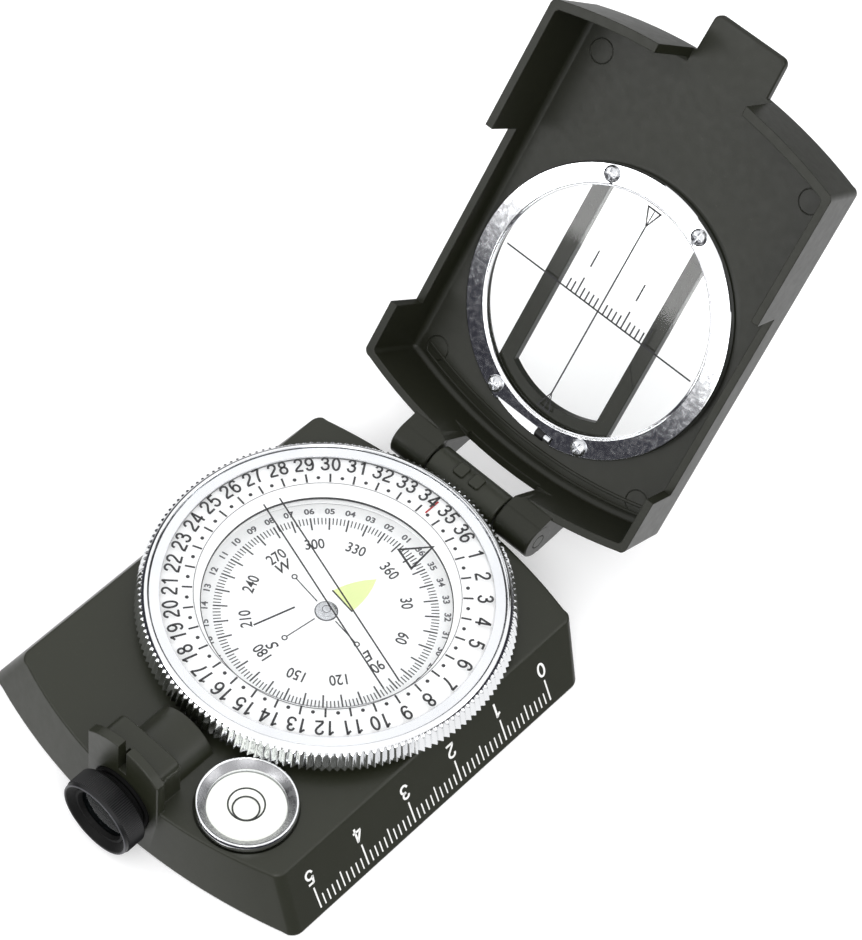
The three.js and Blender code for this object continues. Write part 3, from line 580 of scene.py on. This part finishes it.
# -------------------------------------------------------------------- capsule
finish(node["capsule_cup"], CUPM, 35); finish(node["pivot_post"], STEEL, 40); finish(node["capsule_seal"], DARK, 40)
finish(node["capsule_glass"], CLEAR, 40); finish(node["eyepiece_prism"], LENS, 30); finish(node["card_magnet"], DARKSTEEL, 35)
finish(node["hinge_pin"], OLIVE, 35)
mb = MB()
mb.lathe(fillet([(18.9, 12.95, 0.0), (25.1, 12.95, 0.0), (25.1, 14.8, 0.1), (20.1, 14.8, 0.35), (18.9, 13.35, 0.1)], 4), 200)
o = mb.obj("index_annulus", WHITE, None, 35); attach(o, "base"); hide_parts("index_ring")
mb = MB(); mb.lathe(fillet([(19.3, 11.05, 0.05), (20.84, 11.05), (20.84, 11.7), (19.55, 11.7, 0.1), (19.3, 11.5, 0.1)], 3), 180)
o = mb.obj("capsule_liner", CARDM, None, 30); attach(o, "base")
# Black band on the index ring's lower inner edge: painted shade in place of the dark edge seen there.
mb = MB(); mb.annulus(18.76, 18.99, 12.98, 13.32, 200)
o = mb.obj("capsule_edge_shade_band", INK, None, None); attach(o, "base")
mb = MB(); mb.bar((0, 21.4), (0, 24.3), 0.28, 14.79, 14.84)
o = mb.obj("index_mark", RED, None, None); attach(o, "base")

# ----------------------------------------------------------------------- card
CT = 10.6
mb = MB(); mb.lathe([(1.75, 10.2), (19.55, 10.2), (19.6, 10.25), (19.6, 10.55), (19.55, 10.6), (1.75, 10.6)], 160)
o = mb.obj("card_disc", CARDM, None, 35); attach(o, "card"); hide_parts("compass_card")
NORTH = 82.0
def pol(r, a):
    return (r * math.cos(math.radians(a)), r * math.sin(math.radians(a)))
def radial(r, a, z):
    """Print frame at polar (r, a), its top pointing outwards."""
    c, s = math.cos(math.radians(a)), math.sin(math.radians(a))
    return Matrix(((s, c, 0, r * c), (-c, s, 0, r * s), (0, 0, 1, z), (0, 0, 0, 1)))
mb = MB()
for i in range(180):
    a = NORTH - 2 * i
    if i % 5 == 0: mb.bar(pol(14.75, a), pol(16.95, a), 0.25, CT - 0.01, CT + 0.02)
    else: mb.bar(pol(15.75, a), pol(16.95, a), 0.17, CT - 0.01, CT + 0.02)
for k in range(12):
    mb.text(str(360 if k == 0 else 30 * k), 1.75, radial(12.2, NORTH - 30 * k, CT), 0.03, 0.013, 0.82)
for letter, k, rd, rl in (("W", 3, 7.7, 10.15), ("S", 2, 7.9, 10.25), ("E", 1, 7.3, 9.9)):
    a = NORTH - 90 * k
    mb.bar(pol(2.2, a), pol(rd - 0.4, a), 0.18, CT - 0.01, CT + 0.02)
    mb.annulus(0.28, 0.48, CT - 0.01, CT + 0.02, 24, Matrix.Translation((*pol(rd, a), 0)))
    mb.text(letter, 1.7, radial(rl, a, CT), 0.03, 0.014, 1.0, 0.28)
o = mb.obj("card_print", INK, None, None, tidy=False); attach(o, "card")
mb = MB()
for k in range(36):
    mb.text("%02d" % ((36 - k) % 36 or 36), 0.95, radial(18.2, NORTH - 10 * k, CT), 0.03, 0.03, 1.15)
o = mb.obj("card_fine_print", INKGREY, None, None, tidy=False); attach(o, "card")
side_r = [(2.30, 3.05), (2.18, 4.2), (1.92, 5.4), (1.52, 6.7), (0.92, 8.1), (0.0, 9.65)]
arrow = side_r + [(-x, y) for x, y in reversed(side_r[:-1])]
Rn = Matrix.Rotation(math.radians(NORTH - 90), 4, 'Z')
mb = MB(); mb.prism(arrow, CT - 0.01, CT + 0.03, M=Rn)
o = mb.obj("north_arrow", LUME, None, None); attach(o, "card")
mb = MB(); mb.bar((-2.4, 3.05), (2.4, 3.05), 0.24, CT - 0.01, CT + 0.045, Rn)
o = mb.obj("north_arrow_foot", INK, None, None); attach(o, "card")
mb = MB()
mb.lathe(fillet([(0, 9.9), (0.75, 8.9), (1.45, 8.9), (1.62, 10.66, 0.0), (1.62, 10.8, 0.1), (1.25, 10.92, 0.1), (1.15, 11.12, 0.12), (0.62, 11.2, 0.15), (0.5, 11.3, 0.1), (0, 11.32)], 4, False), 64)
o = mb.obj("jewel_cap_turned", STEEL, None, 35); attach(o, "card"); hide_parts("jewel_cap")
mb = MB(); mb.annulus(1.62, 1.78, CT, CT + 0.05, 48); mb.annulus(0.52, 0.66, 11.2, 11.25, 32)
o = mb.obj("jewel_cap_line", INKGREY, None, None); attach(o, "card")

# ---------------------------------------------------------------------- bezel
TEETH = 162
def knurl_ring(prof_in, prof_out, teeth, depth, per=6):
    """A turned ring whose outer points marked k=1 carry a saw of V-shaped ridges."""
    prof = prof_in + prof_out
    segs = teeth * per
    rings = []
    for r, z, k in prof:
        ring = []
        for i in range(segs):
            a = 2 * math.pi * i / segs; f = (i % per) / per
            tri = 1 - abs(2 * f - 1) * 1.0
            tri = min(1.0, max(0.0, tri * 1.25 - 0.12))
            rr = r - depth * k * (1 - tri)
            ring.append((rr * math.cos(a), rr * math.sin(a), z))
        rings.append(ring)
    return rings
inner = [(24.1, 11.35, 0), (27.3, 11.35, 0)]
outer = [(27.75, 11.55, 0), (28.0, 11.75, 0.45), (28.72, 12.3, 1), (28.16, 14.95, 1), (28.04, 15.14, 0.85), (27.60, 15.36, 0), (27.50, 15.5, 0), (27.38, 15.64, 0), (27.24, 15.78, 0), (27.08, 15.9, 0), (26.9, 15.98, 0), (26.76, 15.99, 0), (26.66, 15.9, 0), (26.62, 15.7, 0), (26.5, 14.8, 0), (25.45, 14.75, 0), (25.45, 12.2, 0), (24.1, 12.2, 0)]
mb = MB(); mb.rings(knurl_ring(inner, outer, TEETH, 0.52), loop=True)
o = mb.obj("bezel_knurled", CHROME, None, 25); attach(o, "bezel"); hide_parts("bezel_ring")

PZ = 15.62
mb = MB()
mb.lathe(fillet([(0, 15.66), (25.2, 15.66, 0.0), (26.3, 15.66, 0.1), (26.42, 15.75, 0.05), (25.5, 16.05, 0.35), (0, 16.06)], 4, False), 180)
o = mb.obj("crystal_disc", CLEAR, None, 30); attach(o, "bezel"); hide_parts("crystal")
mb = MB()
mb.lathe(fillet([(24.95, 15.3), (26.45, 15.3), (26.45, 15.62), (24.95, 15.62)], 3), 200)
o = mb.obj("bezel_seat", RINGM, None, 30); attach(o, "bezel")
mb = MB()
A0 = 72.71
for k in range(36):
    a = A0 - 10 * k
    mb.figures(str(36 if k == 0 else k), 2.45, radial(23.45, a, PZ), 0.140, 0.90)
    mb.bar(pol(20.1, a), pol(21.65, a), 0.31, PZ - 0.01, PZ + 0.01)
    mb.disc(0.30, PZ - 0.01, PZ + 0.01, 16, Matrix.Translation((*pol(20.9, a - 5), 0)))
def polxy(c, a):
    return Vector((math.cos(math.radians(a)), math.sin(math.radians(a)))) * c
u = polxy(1, A0); w = polxy(1, A0 + 90)
for off in (-0.91, 1.78):
    half = math.sqrt(18.4 ** 2 - off ** 2)
    mb.bar(u * off - w * half, u * off + w * half, 0.25, PZ - 0.01, PZ + 0.01)
tri = [pol(13.3, 81.0), pol(13.3, 64.4), pol(18.0, A0)]
tri = tri if (Vector(tri[1]) - Vector(tri[0])).cross(Vector(tri[2]) - Vector(tri[0])) > 0 else tri[::-1]
mb.outline(tri, 0.36, PZ - 0.01, PZ + 0.01)
mb.bar(pol(5.6, A0 + 180), pol(12.5, A0 + 180), 0.29, PZ - 0.01, PZ + 0.01)
o = mb.obj("crystal_print", INK, None, None, tidy=False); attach(o, "bezel")
# Faint grey ring on the crystal over the index ring's inner chamfer: painted shade of that edge.
mb = MB(); mb.annulus(19.88, 19.99, PZ - 0.01, PZ + 0.005, 180)
o = mb.obj("crystal_edge_shade_ring", INKGREY, None, None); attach(o, "bezel")

# ---------------------------------------------------------------------- level
mb = MB()
mb.lathe(fillet([(0, 5.0), (6.85, 5.0), (6.85, 10.1), (7.6, 10.1, 0.05), (7.62, 11.3, 0.12), (7.42, 11.7, 0.15), (7.22, 11.72, 0.1), (7.0, 11.5, 0.2), (6.0, 10.75, 0.12), (5.95, 6.4), (0, 6.4)], 4, False), 128, LVL)
o = mb.obj("level_case", CHROME, None, 40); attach(o, "base"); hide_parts("level_cup")
mb = MB(); mb.lathe([(7.08, 11.64), (7.04, 11.66), (6.98, 11.60), (6.02, 10.80), (5.96, 10.72), (6.0, 10.66)], 160, LVL)
o = mb.obj("level_wall", LEVELM, None, 30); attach(o, "base")
mb = MB(); mb.lathe([(0, 6.7), (5.88, 6.7), (5.88, 9.95), (5.83, 10.0), (0, 10.0)], 96, LVL)
o = mb.obj("level_dial", WHITE, None, 35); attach(o, "base"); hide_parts("level_disc")
mb = MB(); mb.annulus(2.56, 2.82, 10.0, 10.03, 96, LVL @ Matrix.Translation((-0.36, 0.32, 0)))
o = mb.obj("level_mark", INK, None, None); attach(o, "base")
mb = MB()
mb.lathe(fillet([(0, 10.15), (5.75, 10.15), (5.85, 10.5, 0.1), (4.4, 10.75, 3), (2.2, 10.92, 3), (0, 10.96)], 4, False), 96, LVL)
o = mb.obj("level_lens_dome", LIQUID, None, 35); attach(o, "base"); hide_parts("level_lens")
BUB = Matrix.Translation((15.10, -32.44, 0))
# The bubble is drawn only as a black ring in the liquid: painted shade for the dark rim a bubble shows.
mb = MB(); mb.annulus(1.84, 2.09, 10.1, 10.14, 64, BUB)
o = mb.obj("level_bubble_shade_ring", INK, None, None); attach(o, "base")

# ------------------------------------------------------------------- eyepiece
finish(node["eyepiece_barrel"], DARK, 35)
inner = [(4.95, 43.95, 0), (6.05, 43.95, 0)]
outer = [(6.3, 44.05, 0.4), (6.55, 44.35, 1), (6.55, 47.15, 1), (6.42, 47.35, 0.5), (6.4, 47.5, 0), (6.36, 47.8, 0), (6.24, 47.95, 0), (6.08, 48.0, 0), (5.95, 47.95, 0), (5.8, 47.7, 0), (4.95, 46.9, 0)]
mb = MB(); mb.rings(knurl_ring(inner, outer, 120, 0.14, 6), EYE, loop=True)
o = mb.obj("focus_ring_knurled", BLACK, None, 25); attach(o, "focus"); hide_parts("focus_ring")
mb = MB(); mb.lathe([(6.02, 47.9), (6.3, 47.9), (6.28, 48.0), (6.1, 48.03)], 96, EYE)
o = mb.obj("focus_ring_bright_edge", DARKSTEEL, None, None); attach(o, "focus")
mb = MB(); mb.lathe([(4.95, 46.92), (5.78, 47.7), (5.93, 47.93), (5.85, 47.93), (5.68, 47.78), (4.9, 47.02)], 96, EYE)
o = mb.obj("focus_ring_cone", DARK, None, None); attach(o, "focus")
mb = MB()
prof = [(0, 44.95)] + [(4.6 * math.sin(k / 10 * 1.2) / math.sin(1.2), 44.95 + 0.55 * (1 - math.cos(k / 10 * 1.2)) / (1 - math.cos(1.2))) for k in range(1, 11)] + [(4.6, 46.2)] + [(4.6 * math.sin(k / 10 * 1.2) / math.sin(1.2), 46.75 - 0.55 * (1 - math.cos(k / 10 * 1.2)) / (1 - math.cos(1.2))) for k in range(10, 0, -1)] + [(0, 46.75)]
mb.lathe(prof, 72, EYE)
o = mb.obj("eyepiece_glass", LENS, None, 40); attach(o, "focus"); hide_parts("eyepiece_lens")
finish(node["lens_retainer"], DARK, 35)

# ------------------------------------------------------------------------ lid
def lid_outline(half, back, br, front, fr, corner, n=30, m=6):
    yb = lambda x: back + (br - math.sqrt(br * br - x * x))
    yf = lambda x: front - (fr - math.sqrt(fr * fr - x * x))
    xe = half - corner
    pts = [(-xe + 2 * xe * i / n, yb(-xe + 2 * xe * i / n)) for i in range(n + 1)]
    pts += arc(xe, yb(xe) + corner, corner, -70, 0, m)[1:]
    pts += arc(xe, yf(xe) - corner, corner, 0, 72, m)[1:]
    pts += [(xe - 2 * xe * i / n, yf(xe - 2 * xe * i / n)) for i in range(n + 1)]
    pts += arc(-xe, yf(xe) - corner, corner, 108, 180, m)[1:]
    pts += arc(-xe, yb(xe) + corner, corner, 180, 250, m)[1:]
    return pts


TALL, SHORT = -0.5, -7.2
PF = 74.4
kLx = 26.8 / 25.7; kLy = (75.2 - 2.7) / (PF - 3.0); cLy = 2.7 - 3.0 * kLy
lt = lambda x, y, t: (x * (1 + (kLx - 1) * t), y * (1 + (kLy - 1) * t) + cLy * t)
lid = MB().prism(lid_outline(25.7, 3.0, 78.8, PF, 83.4, 1.2), W0, TALL, 0.55, 0.0, taper=lt, n=4).obj("lid_body", PLAIN, LID, None)
kIx = 25.6 / 24.55 * 1.004
li = lambda x, y, t: (x * (1 + (kIx - 1) * t), y * (1 + (kLy - 1) * t) + (cLy + 0.05) * t)
cut(lid, MB().prism(lid_outline(24.55, 4.15, 78.8, PF - 1.4, 83.4, 0.9), W1, 2, 0.9, 0.0, taper=li, n=4), LID)
cut(lid, MB().box(-40, 40, 16.4, 48.8, SHORT, 6), LID)
cut(lid, MB().prism([(-7.5, W1), (7.5, W1), (8.6, 3), (-8.6, 3)], -80, -60, 0, 0, LID @ XZ))
cut(lid, MB().box(-7.2, 7.2, -5, 8, SHORT, 6), LID)
tab = fillet([(-7.2, 72.5), (6.6, 72.5), (6.35, 80.6, 1.2), (-7.0, 80.6, 1.1)], 5)
join(lid, MB().prism(tab, W0, W1, 0.35, 0.25, None, 3), LID)
for s in (-1, 1):
    a, b = (7.2, 14.1) if s > 0 else (-14.1, -7.2)
    arm = fillet([(-2.3, -1.93), (3.3, -9.2), (4.4, -9.2), (4.4, -0.5, 0.6), (1.6, 2.54, 0.5), (0, 0)], 3)
    am = MB().prism(arm, a + 0.03, b - 0.03, 0, 0, YZ).obj("tool", PLAIN, LID, None)
    cut(am, MB().lathe([(0, -20), (2.0, -20), (2.0, 20), (0, 20)], 40, Matrix.Rotation(math.radians(90), 4, 'Y')), LID)
    boolean(lid, am, 'UNION')
    ends = [(2.75, a), (3.0, a + 0.25), (3.0, b - 0.25), (2.75, b)]
    join(lid, MB().lathe([(1.25, a)] + ends + [(1.25, b)], 72, Matrix.Rotation(math.radians(90), 4, 'Y')), LID)
cut(lid, MB().lathe([(0, -6.2), (28.95, -6.2), (28.95, 5), (0, 5)], 180, Matrix.Translation((0, 31.8, 0))), LID)
for open_ in (arc(0, 0, 17.25, -119.5, -60.5, 24) + arc(0, 0, 19.2, 63.7, 116.3, 24), arc(0, 0, 20.2, 123.4, 236.6, 44), arc(0, 0, 20.2, -56.6, 56.6, 44)):
    cut(lid, MB().prism(open_, W0 - 1, W1 + 1, M=Matrix.Translation((0, WINV, 0))), LID)
cut(lid, MB().lathe([(0, W1 - 0.55), (20.6, W1 - 0.55), (20.6, W1 + 3), (0, W1 + 3)], 128, Matrix.Translation((0, WINV, 0))), LID)
split_faces(lid)
finish(lid, OLIVE_LID_SHADED, 40)
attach(lid, "lid"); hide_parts("lid_shell")

# ejector marks, bead along the hinge side
mb = MB()
for x, v in ((-20.4, 65.4), (20.4, 65.4), (-20.7, 10.3), (20.7, 10.3)):
    mb.lathe([(1.78, W1 - 0.02), (2.08, W1 - 0.02), (1.98, W1 + 0.05), (1.88, W1 + 0.05)], 48, Matrix.Translation((x, v, 0)))
o = mb.obj("lid_ejector_marks", OLIVE_LID_SHADED, LID, 30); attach(o, "lid")

def ribbon(path, half_w, z0, z1, M=None):
    """A raised bead along a path in the lid plane."""
    mb = MB(); rings = []
    for i, p in enumerate(path):
        a, b = Vector(path[max(0, i - 1)]), Vector(path[min(len(path) - 1, i + 1)])
        t = (b - a).normalized(); s = Vector((-t.y, t.x))
        q = Vector(p)
        rings.append([(q.x - s.x * half_w, q.y - s.y * half_w, z0), (q.x - s.x * half_w * 0.55, q.y - s.y * half_w * 0.55, z1), (q.x + s.x * half_w * 0.55, q.y + s.y * half_w * 0.55, z1), (q.x + s.x * half_w, q.y + s.y * half_w, z0)])
    return mb.rings(rings, M)
yb = lambda x, d: 4.15 + d + (78.8 - math.sqrt(78.8 ** 2 - x * x))
for nm, d, xm in (("lid_bead_1", 1.5, 22.3), ("lid_bead_2", 3.0, 22.3)):
    o = ribbon([(-xm + 2 * xm * i / 40, yb(-xm + 2 * xm * i / 40, d)) for i in range(41)], 0.32, W1 - 0.05, W1 + 0.16).obj(nm, OLIVE_LID_SHADED, LID, 30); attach(o, "lid")

# ---------------------------------------------------------------- lid window
NOTCH = 21.0
mb = MB()
prof = fillet([(19.3, 0.9, 0.05), (20.7, 0.9), (20.7, 0.3), (22.95, 0.3), (22.95, 1.2, 0.1), (22.75, 1.4, 0.12), (19.75, 1.4, 0.08), (19.62, 1.22, 0.06), (19.45, 1.28, 0.05), (19.3, 1.2, 0.05)], 4)
mb.lathe([(r, W1 + z) for r, z in prof], 240, Matrix.Translation((0, WINV, 0)))
ring = mb.obj("window_frame", PLAIN, LID, None)
cut(ring, MB().box(-7.4, 4.2, 0, WINV - NOTCH, W1 - 1, W1 + 3), LID)
SCREWS = [(-8.6, WINV + 19.5), (8.6, WINV + 19.5), (-8.6, WINV - 19.5), (8.6, WINV - 19.5)]
for x, v in SCREWS:
    cut(ring, MB().lathe([(0, W1 - 1), (1.0, W1 - 1), (1.0, W1 + 3), (0, W1 + 3)], 32, Matrix.Translation((x, v, 0))), LID)
finish(ring, RINGM, 30)
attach(ring, "lid"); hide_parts("window_ring")
mb = MB(); mb.lathe([(0, W1 - 0.22), (20.2, W1 - 0.22), (20.3, W1 - 0.12), (20.3, W1 + 0.5), (20.2, W1 + 0.6), (0, W1 + 0.6)], 128, Matrix.Translation((0, WINV, 0)))
o = mb.obj("window_pane", GLASS, LID, 35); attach(o, "lid"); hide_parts("window_glass")

for i, (x, v) in enumerate(SCREWS):
    turn = (12, -8, 25, -20)[i]
    mb = MB()
    mb.lathe(fillet([(0, -0.9), (0.45, -0.9), (0.45, 1.0), (0.9, 1.38), (1.35, 1.42, 0.05), (1.38, 1.62, 0.12), (1.05, 1.98, 0.3), (0.4, 2.12, 0.3), (0, 2.15)], 4, False), 48)
    sc = mb.obj("tool", PLAIN, None, None)
    R = Matrix.Rotation(math.radians(turn), 4, 'Z')
    for a in (0, 90):
        cut(sc, MB().box(-0.92, 0.92, -0.16, 0.16, 1.72, 3, Matrix.Rotation(math.radians(a), 4, 'Z')))
    sc.data.transform(Matrix.Scale(1 / S, 4)); sc.data.transform(Matrix.Scale(S, 4) @ LID @ Matrix.Translation((x, v, W1)) @ R)
    sc.name = f"window_screw_cross_{i + 1}"
    finish(sc, STEEL, 30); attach(sc, "lid"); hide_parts(f"window_screw_{i + 1}")

finish(node["window_catch_pin"], STEEL, 35)
strip = [(-7.3, 11.02), (0.9, 10.95), (0.9, 9.1)] + [(x, WINV - math.sqrt(22.6 ** 2 - x * x)) for x in (0.0, -1.5, -3.0, -4.5, -6.0, -7.3)]
tilt = Matrix.Translation((0, 10.2, W1 + 0.75)) @ Matrix.Rotation(math.radians(-7), 4, 'X') @ Matrix.Translation((0, -10.2, -W1 - 0.75))
mb = MB(); mb.prism(strip, W1 + 0.45, W1 + 0.95, 0.0, 0.08, tilt, 2)
M = Matrix.Translation((0, WINV - 21.75, W1 + 0.95)) @ Matrix.Rotation(math.radians(90), 4, 'Y')
o = MB().lathe(fillet([(0, 1.1), (0.85, 1.1, 0.15), (0.85, 2.7, 0.15), (0.62, 2.75), (0, 2.75)], 3, False), 40, M).obj("window_catch_barrel", BLACK, LID, 30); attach(o, "lid")
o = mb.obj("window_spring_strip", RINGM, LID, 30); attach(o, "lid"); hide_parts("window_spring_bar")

# reticle on the pane, seen from the eyepiece side
RZ = W1 + 0.6
mb = MB()
mb.bar((-18.6, 0), (18.6, 0), 0.26, RZ, RZ + 0.02)
mb.bar((0, -15.4), (0, 15.7), 0.25, RZ, RZ + 0.02)
for i in range(-7, 11):
    if i == 0: continue
    mb.bar((i * 0.92, 0), (i * 0.92, 3.1 if i % 5 == 0 else 1.8), 0.25, RZ, RZ + 0.02)
for x in (-4.6, 4.6):
    mb.bar((x, 5.1), (x, 8.1), 0.26, RZ, RZ + 0.02)
mb.outline([(-1.2, 18.5), (0, 15.6), (1.2, 18.5)], 0.27, RZ, RZ + 0.02)
mb.bar((0, 15.8), (0.1, 18.5), 0.17, RZ, RZ + 0.02)
mb.outline([(0, -15.3), (-1.2, -18.3), (1.2, -18.3)], 0.2, RZ, RZ + 0.02)
mb.bar((0, -15.5), (0, -18.3), 0.14, RZ, RZ + 0.02)
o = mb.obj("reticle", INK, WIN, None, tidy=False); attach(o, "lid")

# ---------------------------------------------------------------- floor, light
def stage_plane(name, size, z):
    me = bpy.data.meshes.new(name); me.from_pydata([(-size, -size, z), (size, -size, z), (size, size, z), (-size, size, z)], [], [(0, 1, 2, 3)])
    ob = bpy.data.objects.new(name, me); COLL.objects.link(ob)
    return ob
floor = stage_plane("floor", 6.0, -0.0001)
m, nt, N, L, P = material("studio_floor")
P.inputs['Base Color'].default_value = (0.93, 0.93, 0.93, 1); P.inputs['Roughness'].default_value = 0.9; P.inputs['Specular IOR Level'].default_value = 0.1
P.inputs['Emission Color'].default_value = (1, 1, 1, 1); P.inputs['Emission Strength'].default_value = 0.16
floor.data.materials.append(m)
floor.visible_glossy = False

world = bpy.data.worlds.new("studio"); bpy.context.scene.world = world
world.use_nodes = True
wn, wl = world.node_tree.nodes, world.node_tree.links
bg = wn["Background"]
tc = wn.new('ShaderNodeTexCoord'); sep = wn.new('ShaderNodeSeparateXYZ')
wl.new(tc.outputs['Generated'], sep.inputs[0])
cr = wn.new('ShaderNodeValToRGB'); cr.color_ramp.interpolation = 'EASE'
cr.color_ramp.interpolation = 'LINEAR'
els = cr.color_ramp.elements
sky = [(-1.0, 0.95), (-0.50, 0.85), (-0.30, 0.12), (-0.20, 0.03), (0.200, 0.032), (0.222, 1.0), (0.5, 1.0), (1.0, 1.0)]
while len(els) < len(sky): els.new(0.5)
for el, (z, c) in zip(els, sky):
    el.position = (z + 1) / 2; el.color = (c, c, c * 1.01 + (0.008 if c < 0.05 else 0), 1)
mr = wn.new('ShaderNodeMapRange'); mr.inputs['From Min'].default_value = -1; mr.inputs['From Max'].default_value = 1
wl.new(sep.outputs['Z'], mr.inputs['Value']); wl.new(mr.outputs[0], cr.inputs['Fac']); wl.new(cr.outputs['Color'], bg.inputs['Color'])
bg.inputs['Strength'].default_value = 1.0


def area(name, loc, target, size, power, sy=None, color=(1, 1, 1)):
    li_ = bpy.data.lights.new(name, 'AREA'); li_.energy = power; li_.size = size; li_.color = color
    if sy: li_.shape = 'RECTANGLE'; li_.size_y = sy
    ob = bpy.data.objects.new(name, li_); COLL.objects.link(ob)
    ob.location = loc; d = Vector(target) - Vector(loc)
    ob.rotation_euler = d.to_track_quat('-Z', 'Y').to_euler()
    return ob


area("softbox_top", (0.55, -0.55, 0.85), (0, 0, 0), 0.5, 2.2, 0.5)
area("softbox_right", (0.95, 0.45, 0.50), (0, 0, 0.02), 0.5, 0.85, 0.4)
area("strip_front", (-0.501, -1.290, 0.457), (0, 0.058, 0.031), 1.3, 3.6, 0.19)

# --------------------------------------------------------------------- camera
cam = bpy.data.cameras.new("camera"); cam.sensor_width = 36; cam.lens = 134.02; cam.clip_start = 0.01; cam.clip_end = 50
co = bpy.data.objects.new("camera", cam); COLL.objects.link(co)
R = ((0.7327470748888496, 0.6763803629027231, 0.07477518921015716), (0.5830368684696515, -0.5673331524327403, -0.5815506032632337), (-0.3509269642631305, 0.46972619559729617, -0.8100663966137305))
C = (0.18249276, -0.22286108, 0.44721515)
co.matrix_world = Matrix(((R[0][0], -R[1][0], -R[2][0], C[0]), (R[0][1], -R[1][1], -R[2][1], C[1]), (R[0][2], -R[1][2], -R[2][2], C[2]), (0, 0, 0, 1)))
bpy.context.scene.camera = co
vs = bpy.context.scene.view_settings
vs.view_transform = 'Standard'; vs.look = 'None'; vs.exposure = 0.27; vs.gamma = 1.0

for mm in (PLAIN,):
    if mm.users == 0: bpy.data.materials.remove(mm)
